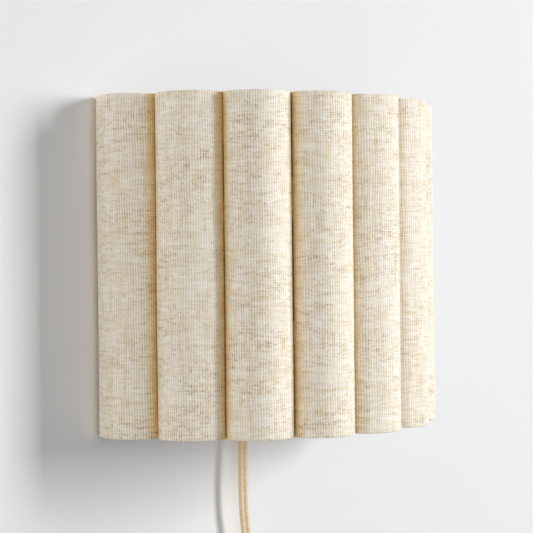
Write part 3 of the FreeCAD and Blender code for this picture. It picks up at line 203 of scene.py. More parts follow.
world = bpy.data.worlds.new("soft_room")
bpy.context.scene.world = world
world.use_nodes = True
tree = world.node_tree
background = tree.nodes["Background"]
rays = add_node(tree, "LightPath")
seen_or_glossy = add_node(tree, "Math", {
    0: rays.outputs["Is Camera Ray"], 1: rays.outputs["Is Glossy Ray"]}, operation="MAXIMUM")
shown = add_node(tree, "Math", {
    0: seen_or_glossy.outputs[0], 1: rays.outputs["Is Transmission Ray"]}, operation="MAXIMUM")
strength = add_node(tree, "Mix", {
    0: shown.outputs[0], 2: WORLD_LIGHT, 3: WORLD_SEEN}, data_type="FLOAT")
tree.links.new(strength.outputs[0], background.inputs["Strength"])
background.inputs["Color"].default_value = (1, 1, 1, 1)
bpy.context.scene.view_settings.view_transform = "Standard"

# %% [markdown]
# ## The cord
# The cord is flat, with two cores side by side under a woven sleeve, so its section has two
# lobes and a shallow groove. A cord falls in one smooth line, and a NURBS spline that follows a
# few listed points draws such a line: out of the gland, down the wall, through the switch and
# then six turns of a tied coil, which is how a spare length is put away, and on to the plug.

# %% The cord's line
CORD_WIDTH = 7.4 * MM
CORD_THICKNESS = 4.0 * MM
STRAIGHT_TOP = -0.2167        # height below which the cord runs straight, flat to the wall
COIL_TURNS = 6
COIL_RADIUS = 52.0 * MM       # of the outermost turn
COIL_PITCH = 5.2 * MM         # from one turn to the next, inwards
COIL_LAYER = 9.2 * MM         # from the coil's first layer to its second
TURN_POINTS = 16
COIL_CENTRE = (-0.065, -0.314)
route = [
    (0, -0.0110, -0.0860), (0, -0.0110, -0.1020), (-0.0044, -0.0126, -0.1270),
    (-0.0064, -0.0142, -0.1640), (-0.0056, -0.0140, -0.1880), (-0.0016, -0.0132, -0.2090),
    (0, -0.0130, STRAIGHT_TOP), (0, -0.0130, -0.2693), (0, -0.0130, -0.3066),
]
# A quadratic spline runs a little inside its points, so the turns' points stand that much out.
stand_out = 2 / (1 + math.cos(math.pi / TURN_POINTS))
for i in range(1, COIL_TURNS * TURN_POINTS):
    turns = i / TURN_POINTS
    climb = min(max((turns - COIL_TURNS / 2) / 0.5 + 0.5, 0), 1)
    across = COIL_LAYER * climb * climb * (3 - 2 * climb)
    radius = COIL_RADIUS - COIL_PITCH * (COIL_TURNS / 2 - abs(turns - COIL_TURNS / 2))
    angle = 2 * math.pi * turns
    route.append((across, COIL_CENTRE[0] + stand_out * radius * math.cos(angle),
                  COIL_CENTRE[1] - stand_out * radius * math.sin(angle)))
route += [(COIL_LAYER, -0.0130, height) for height in (-0.3140, -0.3214, -0.3480)]

curve = bpy.data.curves.new("cord_line", "CURVE")
curve.dimensions = "3D"
spline = curve.splines.new("NURBS")
spline.points.add(len(route) - 1)
for spot, place in zip(spline.points, route):
    spot.co = (*place, 1)
spline.order_u = 3
spline.use_endpoint_u = True
spline.resolution_u = 6
line_object = bpy.data.objects.new("cord_line", curve)
bpy.context.scene.collection.objects.link(line_object)
bpy.context.view_layer.update()
line_mesh = bpy.data.meshes.new_from_object(line_object)
cord_line = [v.co.copy() for v in line_mesh.vertices]
bpy.data.objects.remove(line_object)
cord_length = sum((b - a).length for a, b in zip(cord_line, cord_line[1:]))
print("cord line", len(cord_line), "points", round(cord_length, 3), "m")

# %% [markdown]
# The sleeve is a tube along that line, with the two-lobed section. It leaves the gland flat to
# the wall, wide along X, turns to the left where it hangs free, which brings its width in this
# view to the photograph's, and is flat again at the switch and in the coil. Each ring of points
# carries how far along and how far round it is, so that the braid can follow the cord.

# %% The cord's sleeve
RING = 40
BRIDGE = 0.66                 # depth of the sleeve over the groove, as a share of a core's radius
TWIST = math.radians(30)
TWIST_TOP = -0.100            # height at which the turn starts
TWIST_RUN = 0.035             # height over which it grows
UNTWIST_RUN = 0.018           # height over which it goes, down to the straight run


def cord_section(share):
    """A point of the two-lobed section at a share of the way round: across, and off the wall."""
    a = 2 * math.pi * share
    core = CORD_THICKNESS / 2
    across = CORD_WIDTH / 2 * math.cos(a)
    from_core = abs(across) - (CORD_WIDTH / 2 - core)
    deep = math.sqrt(max(core ** 2 - from_core ** 2, 0))
    bridged = max(deep, BRIDGE * core) if from_core < 0 else deep
    return across, math.copysign(bridged, math.sin(a))


def twist(height):
    """How far the free cord's broad face has turned to the left, at a height."""
    grown = min(max((TWIST_TOP - height) / TWIST_RUN, 0), 1)
    left = min(max((height - STRAIGHT_TOP) / UNTWIST_RUN, 0), 1)
    share = grown * left
    return TWIST * share * share * (3 - 2 * share)


section = [cord_section(i / RING) for i in range(RING)]
straight_from = next(i for i, spot in enumerate(cord_line) if spot.z < STRAIGHT_TOP)
points, faces, along_by_point = [], [], []
run = 0.0
for i, centre in enumerate(cord_line):
    before = cord_line[max(i - 1, 0)]
    after = cord_line[min(i + 1, len(cord_line) - 1)]
    heading_here = (after - before).normalized()
    wide = (Vector((1, 0, 0)) - heading_here * heading_here.x).normalized()
    wide.rotate(Quaternion(heading_here, twist(centre.z) if i < straight_from else 0))
    thick = heading_here.cross(wide)
    if i:
        run += (centre - cord_line[i - 1]).length
    for across, deep in section:
        points.append(centre + wide * across + thick * deep)
        along_by_point.append(run)
rings = len(cord_line)
for i in range(rings - 1):
    for j in range(RING):
        k = (j + 1) % RING
        faces.append((i * RING + j, i * RING + k, (i + 1) * RING + k, (i + 1) * RING + j))
faces.append(tuple(range(RING)))
faces.append(tuple((rings - 1) * RING + j for j in reversed(range(RING))))
cord = mesh_piece("textile_cord", points, faces)
layer = cord.data.uv_layers.new(name="along_and_round")
girth = sum((Vector(section[i]) - Vector(section[i - 1])).length for i in range(RING))
for face in cord.data.polygons:
    ring_ids = [v % RING for v in face.vertices]
    wraps = max(ring_ids) - min(ring_ids) > RING / 2
    for loop, vertex, j in zip(face.loop_indices, face.vertices, ring_ids):
        round_share = (j + RING if wraps and j < RING / 2 else j) / RING
        layer.data[loop].uv = (along_by_point[vertex], round_share * girth)
print("cord girth", round(girth * 1000, 1), "mm")

# %% [markdown]
# The sleeve is a braid of dyed cotton and linen yarns that cross at a slant. Two sets of
# slanted waves, one each way, give the crossing yarns, and where one passes over the other it
# stands out, and its colour is painted lighter there as a highlight and darker between, mixed with
# the fibres' own uneven tone. A yarn takes up 0.75 mm of the cord's length. Cotton has no
# shine, so it is very rough, with the faint edge glow of loose fibres.

# %% Braided textile
YARN = 0.75 * MM
braid, tree, shader = new_material("braided_cotton_sleeve")
place = add_node(tree, "UVMap", uv_map="along_and_round")
parts = add_node(tree, "SeparateXYZ", {0: place.outputs[0]})
along, around = parts.outputs[0], parts.outputs[1]
slant_one = add_node(tree, "Math", {0: along, 1: around}, operation="ADD")
slant_two = add_node(tree, "Math", {0: along, 1: around}, operation="SUBTRACT")
waves = []
for slant in (slant_one, slant_two):
    phase = add_node(tree, "Math", {0: slant.outputs[0], 1: math.pi / YARN}, operation="MULTIPLY")
    waves.append(add_node(tree, "Math", {0: phase.outputs[0]}, operation="SINE"))
crossing = add_node(tree, "Math", {
    0: waves[0].outputs[0], 1: waves[1].outputs[0]}, operation="MULTIPLY")
relief = add_node(tree, "Math", {0: crossing.outputs[0], 1: 0.5, 2: 0.5}, operation="MULTIPLY_ADD")
stretched = add_node(tree, "CombineXYZ", {0: along, 1: around})
fibre = add_node(tree, "TexNoise", {
    "Vector": stretched.outputs[0], "Scale": 1 / (2.5 * MM), "Detail": 3.0})
# Painted highlight and shade: the colour is lighter where the crossing yarns stand out and darker
# between them, times the fibres' uneven tone.
painted_highlight_and_tone = add_node(tree, "Math", {
    0: relief.outputs[0], 1: fibre.outputs["Fac"]}, operation="MULTIPLY")
spread = add_node(tree, "MapRange", {
    "Value": painted_highlight_and_tone.outputs[0], "From Min": 0.0, "From Max": 0.45})
yarn_colour_with_highlight = add_node(tree, "Mix", {
    0: spread.outputs[0], 6: linear("cfaa76"), 7: linear("f8e6c8")}, data_type="RGBA")
tree.links.new(yarn_colour_with_highlight.outputs[2], shader.inputs["Base Color"])
bump = add_node(tree, "Bump", {
    "Height": relief.outputs[0], "Strength": 0.6, "Distance": 0.25 * MM})
tree.links.new(bump.outputs[0], shader.inputs["Normal"])
shader.inputs["Roughness"].default_value = 0.88
shader.inputs["Specular IOR Level"].default_value = 0.3
shader.inputs["Sheen Weight"].default_value = 0.25
shader.inputs["Sheen Roughness"].default_value = 0.5
cord.data.materials.append(braid)
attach(cord, "wall_unit")
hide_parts("supply_cord", "switch_lead", "plug_lead", "cord_coil")

# %% [markdown]
# The coil is tied at its top with a strap of woven tape. The strap is drawn as one closed band
# round the bundle. Its line is a rounded box, and its edges stand out from its middle by a
# fraction of a millimetre, as a selvedge does.

# %% The tape round the coil
TIE_WIDTH = 10.0 * MM
TIE_THICKNESS = 1.2 * MM
TIE_GAP = 0.8 * MM
TIE_ROWS = 14
TIE_CORNER = 2.4 * MM
SELVEDGE = 0.15 * MM
CORNER_STEPS = 8
tie_skin = TIE_GAP + TIE_THICKNESS / 2
tie_half = COIL_LAYER / 2 + CORD_WIDTH / 2 + tie_skin
tie_low = COIL_RADIUS - COIL_PITCH * COIL_TURNS / 2 - CORD_THICKNESS / 2 - tie_skin
tie_high = COIL_RADIUS - COIL_PITCH / 4 + CORD_THICKNESS / 2 + tie_skin
band = []
for side, (x_sign, z_spot, z_sign) in enumerate((
        (1, tie_high, 1), (-1, tie_high, 1), (-1, tie_low, -1), (1, tie_low, -1))):
    for step in range(CORNER_STEPS + 1):
        a = math.radians(90 * side + 90 * step / CORNER_STEPS)
        band.append(Vector((x_sign * (tie_half - TIE_CORNER) + TIE_CORNER * math.cos(a),
                            z_spot - z_sign * TIE_CORNER + TIE_CORNER * math.sin(a))))
band_run = [0.0]
for i in range(1, len(band) + 1):
    band_run.append(band_run[-1] + (band[i % len(band)] - band[i - 1]).length)
tie_mesh = bmesh.new()
tie_uv = tie_mesh.loops.layers.uv.new("along_and_across")
rows = []
for row in range(TIE_ROWS + 1):
    share = 2 * row / TIE_ROWS - 1
    selvedge = SELVEDGE * share ** 8
    rows.append([tie_mesh.verts.new((
        COIL_LAYER / 2 + spot.x * (1 + selvedge / tie_half), COIL_CENTRE[0] + share * TIE_WIDTH / 2,
        COIL_CENTRE[1] + spot.y)) for spot in band])
for row in range(TIE_ROWS):
    for i in range(len(band)):
        k = (i + 1) % len(band)
        face = tie_mesh.faces.new((rows[row][i], rows[row][k], rows[row + 1][k], rows[row + 1][i]))
        face.smooth = True
        for loop, (along_spot, row_spot) in zip(face.loops, (
                (i, row), (i + 1, row), (i + 1, row + 1), (i, row + 1))):
            loop[tie_uv].uv = (band_run[along_spot], TIE_WIDTH * row_spot / TIE_ROWS)
tie_data = bpy.data.meshes.new("tape_tie")
tie_mesh.to_mesh(tie_data)
tie_mesh.free()
tie = bpy.data.objects.new("tape_tie", tie_data)
bpy.context.scene.collection.objects.link(tie)
tape_depth = tie.modifiers.new("tape_thickness", "SOLIDIFY")
tape_depth.thickness = TIE_THICKNESS
tape_depth.offset = 0.0
soft_edge = tie.modifiers.new("soft_edge", "BEVEL")
soft_edge.width = 0.3 * MM
soft_edge.segments = 2
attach(tie, "wall_unit")
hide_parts("cord_tie")

# %% [markdown]
# Cotton tape is a herringbone twill: slanted ribs that turn back halfway, about 1 mm apart.

# %% Woven cotton tape
tape, tree, shader = new_material("woven_cotton_tape")
place = add_node(tree, "UVMap", uv_map="along_and_across")
parts = add_node(tree, "SeparateXYZ", {0: place.outputs[0]})
from_middle = add_node(tree, "Math", {0: parts.outputs[1], 1: TIE_WIDTH / 2}, operation="SUBTRACT")
folded = add_node(tree, "Math", {0: from_middle.outputs[0]}, operation="ABSOLUTE")
slant = add_node(tree, "Math", {0: parts.outputs[0], 1: folded.outputs[0]}, operation="ADD")
turned = add_node(tree, "Math", {0: slant.outputs[0], 1: 2 * math.pi / MM}, operation="MULTIPLY")
rib = add_node(tree, "Math", {0: turned.outputs[0]}, operation="SINE")
ribs = add_node(tree, "MapRange", {"Value": rib.outputs[0], "From Min": -1.0, "From Max": 1.0})
# Painted shade and highlight: the tape's colour is lighter on the ribs' crests and darker between
# them.
tape_colour_with_rib_shade = add_node(tree, "Mix", {
    0: ribs.outputs[0], 6: linear("c3b28f"), 7: linear("e2d8c0")}, data_type="RGBA")
tree.links.new(tape_colour_with_rib_shade.outputs[2], shader.inputs["Base Color"])
bump = add_node(tree, "Bump", {"Height": ribs.outputs[0], "Strength": 0.6, "Distance": 0.2 * MM})
tree.links.new(bump.outputs[0], shader.inputs["Normal"])
shader.inputs["Roughness"].default_value = 0.9
shader.inputs["Sheen Weight"].default_value = 0.2
tie.data.materials.append(tape)

# %% [markdown]
# ## The linen shade
# The linen is one piece of cloth laid round nine upright lobes and pushed into a sharp crease
# between each two, with its top and bottom edges rolled in over the frame's wires. Seen from
# above, each lobe is an arc of a circle, so the cloth's line is worked out once and drawn
# again at each height. At a crease the cloth turns on the spot: the points fan out there.

# %% The cloth's line in plan
LOBES = 9
LOBE_CIRCLE = 129.5 * MM
CREASE_RISE = 9.5 * MM
WALL_GAP = 2.0 * MM
CLOTH = 0.7 * MM
half_pitch = math.pi / LOBES / 2
half_chord = LOBE_CIRCLE * math.sin(half_pitch)
LOBE_RADIUS = math.hypot(half_chord, CREASE_RISE)
lobe_reach = math.atan2(half_chord, CREASE_RISE) + half_pitch
ARC_STEPS = 30
FAN_STEPS = 6
# How fast the painted shade beside each crease fades: faster on the flanks that the light falls on,
# so that it stays where this view's flanks lie in shade.
RIGHT_FLANK_SHADE_FADING = 3.0      # on the right flanks, from the third lobe on
FAR_LOBE_SHADE_FADING = 1.8         # on the left flanks, from the fifth lobe on


def in_plan(azimuth):
    """Unit vector away from the shade's axis, 0 being straight out from the wall."""
    return Vector((math.sin(azimuth), -math.cos(azimuth)))


def crease_shade_fading(lobe, local):
    """How fast the painted shade beside a crease fades, set for how the light falls on the lobes
    that this view shows.
    """
    if local > 0 and lobe > 1:
        return RIGHT_FLANK_SHADE_FADING
    return FAR_LOBE_SHADE_FADING if lobe > 3 else 1.0


# Each column: lobe number, outer point, direction inwards, distance along the cloth, and its
# distance from the crease, graded for the painted crease shade.
columns = []
run = 0.0
for lobe in range(LOBES):
    azimuth = (lobe - (LOBES - 1) / 2) * 2 * half_pitch
    centre = in_plan(azimuth) * LOBE_CIRCLE
    for step in range(ARC_STEPS + 1):
        local = lobe_reach * (2 * step / ARC_STEPS - 1)
        outwards = in_plan(azimuth + local)
        point = centre + outwards * LOBE_RADIUS
        if point.y > -WALL_GAP:
            continue
        if columns and step:
            run += (point - columns[-1]["point"]).length
        columns.append({"lobe": lobe, "local": local, "point": point, "inwards": -outwards,
                        "along": run,
                        "crease": LOBE_RADIUS * (lobe_reach - abs(local)) * crease_shade_fading(lobe, local)})
    if lobe < LOBES - 1:
        crease_azimuth = azimuth + half_pitch
        for step in range(1, FAN_STEPS):
            swing = (lobe_reach - half_pitch) * (1 - 2 * step / FAN_STEPS)
            columns.append({"lobe": lobe, "local": lobe_reach, "point": point.copy(),
                            "inwards": -in_plan(crease_azimuth + swing),
                            "along": run, "crease": 0.0})

# %% [markdown]
# In height the cloth's line starts at the turned-in edge, rolls over the top wire, comes down
# the outside, rolls under the bottom wire and ends inside. The roll is drawn as a flattened
# ellipse, because the cloth is pressed over the wire and so turns rather sharply.

# %% The cloth's line in height
HALF_HEIGHT = 120.0 * MM
HEM_INSET = 4.95 * MM
HEM_DEPTH = 10.0 * MM
HEM_ROWS = (HEM_DEPTH, 7 * MM, 4.5 * MM)   # below the shade's edge, inside
MID_CLOTH = CLOTH / 2
roll_width = (HEM_INSET - MID_CLOTH) / 2
ROLL_HEIGHT = 1.3 * MM
ROLL_STEPS = 8
ROLL_POWER = 0.6              # below 1, so that the roll is squarer than an ellipse
ROWS = 40
edge_height = HALF_HEIGHT - MID_CLOTH - ROLL_HEIGHT
profile = [(HEM_INSET, HALF_HEIGHT - below) for below in HEM_ROWS]
for step in range(ROLL_STEPS + 1):
    a = math.pi * step / ROLL_STEPS
    middle = step == ROLL_STEPS / 2
    flattened = 0 if middle else math.copysign(abs(math.cos(a)) ** ROLL_POWER, math.cos(a))
    profile.append((MID_CLOTH + roll_width * (1 + flattened),
                    edge_height + ROLL_HEIGHT * math.sin(a) ** ROLL_POWER))
for row in range(1, ROWS):
    profile.append((MID_CLOTH, edge_height * (1 - 2 * row / ROWS)))
rolled_rows = len(HEM_ROWS) + ROLL_STEPS + 1
profile += [(inset, -height) for inset, height in reversed(profile[:rolled_rows])]
heights_along = [0.0]
for (inset_a, height_a), (inset_b, height_b) in zip(profile, profile[1:]):
    heights_along.append(heights_along[-1] + math.hypot(inset_b - inset_a, height_b - height_a))

# %% [markdown]
# Hand-laid cloth is never perfect. Each lobe is a touch fuller or flatter, and each crease
# wanders by a fraction of a millimetre down its length, least at the two wires that hold it.
# Short sums of sines give that wander, the same on every run. Beside each crease the cloth
# swells a little, as it does where it is pushed in and glued, and hides the crease's bottom.

# %% Wander of the lobes and creases
LEFT_PINCH = 1.3 * MM         # swell on a lobe's left flank
RIGHT_PINCH = 0.4 * MM        # swell on its right flank
LOBE_WANDER = 0.35 * MM
CREASE_WANDER = 0.4 * MM


def wander(number, height, size):
    """A slow, repeatable drift for one lobe or crease."""
    t = height / HALF_HEIGHT
    return size * (0.6 * math.sin(2.1 * t + 1.7 * number) + 0.4 * math.sin(4.7 * t + 2.9 * number))


def cloth_point(column, inset, height):
    """A point of the cloth's middle layer."""
    held = 1 - min(abs(height) / edge_height, 1) ** 6
    fullness = wander(column["lobe"], height, LOBE_WANDER) * math.cos(column["local"]) * held
    edge_share = abs(column["local"]) / lobe_reach
    fullness += math.sin(math.pi * max(2 * edge_share - 1, 0)) * (
        LEFT_PINCH if column["local"] < 0 else RIGHT_PINCH)
    spot = column["point"] + column["inwards"] * (inset - fullness)
    beside = Vector((-column["inwards"].y, column["inwards"].x))
    number = column["lobe"] + (0.5 if column["local"] > 0 else -0.5)
    spot += beside * wander(number + 20, height, CREASE_WANDER) * edge_share ** 3 * held
    return (spot.x, min(spot.y, -WALL_GAP), height)


points = [cloth_point(column, inset, height) for column in columns for inset, height in profile]
tall = len(profile)
faces = [(c * tall + r, c * tall + r + 1, (c + 1) * tall + r + 1, (c + 1) * tall + r)
         for c in range(len(columns) - 1) for r in range(tall - 1)]
shade = mesh_piece("linen_shade", points, faces)
layer = shade.data.uv_layers.new(name="cloth")
for face in shade.data.polygons:
    for loop, vertex in zip(face.loop_indices, face.vertices):
        layer.data[loop].uv = (columns[vertex // tall]["along"], heights_along[vertex % tall])
# Each point carries its distance from a crease, which grades the painted crease shade; the
# turned-in rows get none.
crease = shade.data.attributes.new("crease_shade_reach", "FLOAT", "POINT")
turned_rows = len(HEM_ROWS) + ROLL_STEPS // 2
crease.data.foreach_set("value", [
    columns[v // tall]["crease"] if turned_rows <= v % tall < tall - turned_rows else LOBE_RADIUS
    for v in range(len(points))])
thicken = shade.modifiers.new("cloth_thickness", "SOLIDIFY")
thicken.thickness = CLOTH
thicken.offset = 0.0
thicken.use_even_offset = False
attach(shade, "shade")
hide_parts("shade_fabric")

# %% [markdown]
# Linen yarn is spun from long, uneven fibres, so it has thick places called slubs, and undyed
# linen runs from cream to tan. The weave is drawn in the cloth's own two directions: upright
# warp yarns and level weft yarns, each with its own shade that changes slowly along it. A real
# yarn is about 0.6 mm wide, too fine to show at this size, so the weave is drawn at 1.8 mm.

# %% Linen
WARP = 1.85 * MM
WEFT = 1.20 * MM
YARN_DRIFT = 3.0 * MM
NOISE_STEP = 7.31             # so far apart in the noise that neighbouring yarns differ
linen, tree, shader = new_material("natural_slub_linen")
place = add_node(tree, "UVMap", uv_map="cloth")
parts = add_node(tree, "SeparateXYZ", {0: place.outputs[0]})
across, upward = parts.outputs[0], parts.outputs[1]

# The cloth isn't woven dead straight, so each yarn's place drifts a little.
drift_spot = add_node(tree, "CombineXYZ", {0: across, 1: upward})
drift = add_node(tree, "TexNoise", {
    "Vector": drift_spot.outputs[0], "Scale": 1 / (40 * MM), "Detail": 2.0})
drift_parts = add_node(tree, "SeparateXYZ", {0: drift.outputs["Color"]})
warp_place = add_node(tree, "Math", {
    0: drift_parts.outputs[0], 1: YARN_DRIFT, 2: across}, operation="MULTIPLY_ADD")
weft_place = add_node(tree, "Math", {
    0: drift_parts.outputs[1], 1: YARN_DRIFT, 2: upward}, operation="MULTIPLY_ADD")


def yarns(position, along, width, run_length, fleck_length, seed):
    """A set of yarns: its slow change of shade, its thick places, and its round backs."""
    count = add_node(tree, "Math", {0: position, 1: width}, operation="DIVIDE")
    number = add_node(tree, "Math", {0: count.outputs[0]}, operation="FLOOR")
    apart = add_node(tree, "Math", {
        0: number.outputs[0], 1: NOISE_STEP, 2: seed}, operation="MULTIPLY_ADD")
    changes = []
    for length in (run_length, fleck_length):
        lengthwise = add_node(tree, "Math", {0: along, 1: length}, operation="DIVIDE")
        spot = add_node(tree, "CombineXYZ", {0: lengthwise.outputs[0], 1: apart.outputs[0]})
        tone = add_node(tree, "TexNoise", {"Vector": spot.outputs[0], "Scale": 1.0, "Detail": 2.0})
        changes.append(tone.outputs["Fac"])
    phase = add_node(tree, "Math", {0: count.outputs[0], 1: 2 * math.pi}, operation="MULTIPLY")
    back = add_node(tree, "Math", {0: phase.outputs[0]}, operation="COSINE")
    rise = add_node(tree, "Math", {0: back.outputs[0], 1: -0.5, 2: 0.5}, operation="MULTIPLY_ADD")
    return (*changes, rise.outputs[0])


warp_tone, warp_fleck, warp_rise = yarns(warp_place.outputs[0], upward, WARP, 22 * MM, 2 * MM, 3.1)
weft_tone, weft_fleck, weft_rise = yarns(
    weft_place.outputs[0], across, WEFT, 15 * MM, 13 * MM, 11.7)

# %% [markdown]
# The colour is built in layers, as a painter would: the pale ground, a little tan where a yarn's
# shade is deep, dark furrows of painted shade between yarns, rust-brown flecks where a yarn is
# thickest, and a warm, dark painted shade in the creases, where light arrives only through and
# between layers of cloth. The furrows fade in and out in patches, because the weave is more open
# in some places.

# %% Linen: colour in layers
weft_depth = add_node(tree, "MapRange", {
    "Value": weft_tone, "From Min": 0.44, "From Max": 0.68, "To Min": 0.0, "To Max": 0.6})
ground = add_node(tree, "Mix", {
    0: weft_depth.outputs[0], 6: linear("fffaf0"), 7: linear("e8d6b4")}, data_type="RGBA")
warp_depth = add_node(tree, "MapRange", {
    "Value": warp_tone, "From Min": 0.46, "From Max": 0.68, "To Min": 0.0, "To Max": 0.6})
with_warp = add_node(tree, "Mix", {
    0: warp_depth.outputs[0], 6: ground.outputs[2], 7: linear("ecdcb8")}, data_type="RGBA")
patch_spot = add_node(tree, "Mapping", {
    "Vector": drift_spot.outputs[0], "Scale": (1 / (16 * MM), 1 / (6 * MM), 1)})
patch = add_node(tree, "TexNoise", {"Vector": patch_spot.outputs[0], "Scale": 1.0, "Detail": 3.0})
patches = add_node(tree, "MapRange", {
    "Value": patch.outputs["Fac"], "From Min": 0.40, "From Max": 0.64,
    "To Min": 0.0, "To Max": 1.0})
broad = add_node(tree, "TexNoise", {
    "Vector": drift_spot.outputs[0], "Scale": 1 / (45 * MM), "Detail": 1.0})
bare = add_node(tree, "MapRange", {
    "Value": broad.outputs["Fac"], "From Min": 0.38, "From Max": 0.60,
    "To Min": 0.55, "To Max": 1.0})
clustered = add_node(tree, "Math", {
    0: patches.outputs[0], 1: bare.outputs[0]}, operation="MULTIPLY")
openness = add_node(tree, "Math", {
    0: clustered.outputs[0], 1: 0.5, 2: 0.45}, operation="MULTIPLY_ADD")
# The furrows are painted shade between the yarns: darker where a yarn's round back falls away, more
# so where the weave is open.
furrow_shades = []
for rise, depth in ((warp_rise, 0.8), (weft_rise, 0.45)):
    furrow_shade = add_node(tree, "MapRange", {
        "Value": rise, "From Min": 0.0, "From Max": 0.6, "To Min": depth, "To Max": 0.0})
    furrow_shades.append(add_node(tree, "Math", {
        0: furrow_shade.outputs[0], 1: openness.outputs[0]}, operation="MULTIPLY"))
painted_furrow_shade = add_node(tree, "Math", {
    0: furrow_shades[0].outputs[0], 1: furrow_shades[1].outputs[0]}, operation="MAXIMUM")
woven_with_furrow_shade = add_node(tree, "Mix", {
    0: painted_furrow_shade.outputs[0], 6: with_warp.outputs[2], 7: linear("cdb283")}, data_type="RGBA")
flecks = []
for fleck, furrow_shade, start in ((warp_fleck, furrow_shades[0], 0.55), (weft_fleck, furrow_shades[1], 0.57)):
    thick = add_node(tree, "MapRange", {
        "Value": fleck, "From Min": start, "From Max": start + 0.10, "To Min": 0.0, "To Max": 2.2})
    sunk = add_node(tree, "Math", {
        0: thick.outputs[0], 1: furrow_shade.outputs[0]}, operation="MULTIPLY")
    flecks.append(add_node(tree, "Math", {
        0: sunk.outputs[0], 1: bare.outputs[0]}, operation="MULTIPLY", use_clamp=True))
flecked = add_node(tree, "Math", {
    0: flecks[0].outputs[0], 1: flecks[1].outputs[0]}, operation="MAXIMUM")
speckled = add_node(tree, "Mix", {
    0: flecked.outputs[0], 6: woven_with_furrow_shade.outputs[2], 7: linear("9a6a36")}, data_type="RGBA")
# Painted shade in the creases: a warm tone that fades out over 14 mm of the graded distance from a
# crease, and a deeper one within 1.6 mm, standing for the shade and the warm bounced light there.
crease_shade_lookup = add_node(tree, "Attribute", attribute_name="crease_shade_reach")
painted_shade_share = add_node(tree, "MapRange", {
    "Value": crease_shade_lookup.outputs["Fac"], "From Min": 0.0, "From Max": 14 * MM,
    "To Min": 1.0, "To Max": 0.0}, interpolation_type="SMOOTHERSTEP")
painted_crease_shade = add_node(tree, "Mix", {
    0: painted_shade_share.outputs[0], 6: (1, 1, 1, 1), 7: linear("f3deaa")}, data_type="RGBA")
painted_deep_shade_share = add_node(tree, "MapRange", {
    "Value": crease_shade_lookup.outputs["Fac"], "From Min": 0.0, "From Max": 1.6 * MM,
    "To Min": 1.0, "To Max": 0.0}, interpolation_type="SMOOTHSTEP")
deep = add_node(tree, "Mix", {
    0: painted_deep_shade_share.outputs[0], 6: (1, 1, 1, 1), 7: linear("e4cf98")}, data_type="RGBA")
# The painted crease shade multiplies the cloth's colour.
painted_shade_tint = add_node(tree, "VectorMath", {0: painted_crease_shade.outputs[2], 1: deep.outputs[2]}, operation="MULTIPLY")
coloured = add_node(tree, "VectorMath", {
    0: speckled.outputs[2], 1: painted_shade_tint.outputs[0]}, operation="MULTIPLY")
tree.links.new(coloured.outputs[0], shader.inputs["Base Color"])
crossing = add_node(tree, "Math", {0: warp_rise, 1: weft_rise}, operation="MULTIPLY")
relief = add_node(tree, "Math", {
    0: crossing.outputs[0], 1: flecked.outputs[0]}, operation="ADD")
bump = add_node(tree, "Bump", {
    "Height": relief.outputs[0], "Strength": 0.5, "Distance": 0.25 * MM})
tree.links.new(bump.outputs[0], shader.inputs["Normal"])
shader.inputs["Roughness"].default_value = 0.92
shader.inputs["Specular IOR Level"].default_value = 0.25
shader.inputs["Sheen Weight"].default_value = 0.15
shader.inputs["Sheen Roughness"].default_value = 0.6
shade.data.materials.append(linen)

# The front and side lamps' light would fill the shade's shadow on the wall, so they are linked
# to the cloth and the cord alone, as a photographer keeps a lamp off a wall with a flag. The wall
# lamp adds to the key lamp's light on the wall alone.
cloth_only = bpy.data.collections.new("cloth_only")
for piece in (shade, cord):
    cloth_only.objects.link(piece)
for flagged in (front_lamp, side_lamp):
    flagged.light_linking.receiver_collection = cloth_only
wall_only = bpy.data.collections.new("wall_only")
wall_only.objects.link(wall)
wall_lamp.light_linking.receiver_collection = wall_only

# %% [markdown]
# ## The hard pieces
# What is left is metal, plastic and glass. Each finish starts from what it is made of and how
# its surface was made: powder coat is a fine orange peel, brass is drawn or turned and so has
# fine lines, moulded plastic is smooth with a faint grain. A slow change of roughness across
# each keeps it from looking like a computer's idea of clean.

# %% A recipe for moulded, coated and turned surfaces
def surface(name, colour, darker, roughness, grain, depth, metallic=0.0, stretch=(1, 1, 1)):
    """A finish whose colour and roughness vary a little, over a grain of a size in metres."""
    made, tree, shader = new_material(name)
    place = add_node(tree, "TexCoord")
    laid = add_node(tree, "Mapping", {"Vector": place.outputs["Object"], "Scale": stretch})
    fine = add_node(tree, "TexNoise", {
        "Vector": laid.outputs[0], "Scale": 1 / grain, "Detail": 3.0})
    broad = add_node(tree, "TexNoise", {
        "Vector": place.outputs["Object"], "Scale": 1 / (35 * MM), "Detail": 2.0})
    tone = add_node(tree, "Mix", {
        0: broad.outputs["Fac"], 6: linear(darker), 7: linear(colour)}, data_type="RGBA")
    tree.links.new(tone.outputs[2], shader.inputs["Base Color"])
    rough = add_node(tree, "MapRange", {
        "Value": fine.outputs["Fac"], "From Min": 0.3, "From Max": 0.7,
        "To Min": roughness * 0.85, "To Max": min(roughness * 1.15, 1)})
    tree.links.new(rough.outputs[0], shader.inputs["Roughness"])
    shader.inputs["Metallic"].default_value = metallic
    bump = add_node(tree, "Bump", {
        "Height": fine.outputs["Fac"], "Strength": 0.4, "Distance": depth})
    tree.links.new(bump.outputs[0], shader.inputs["Normal"])
    return made


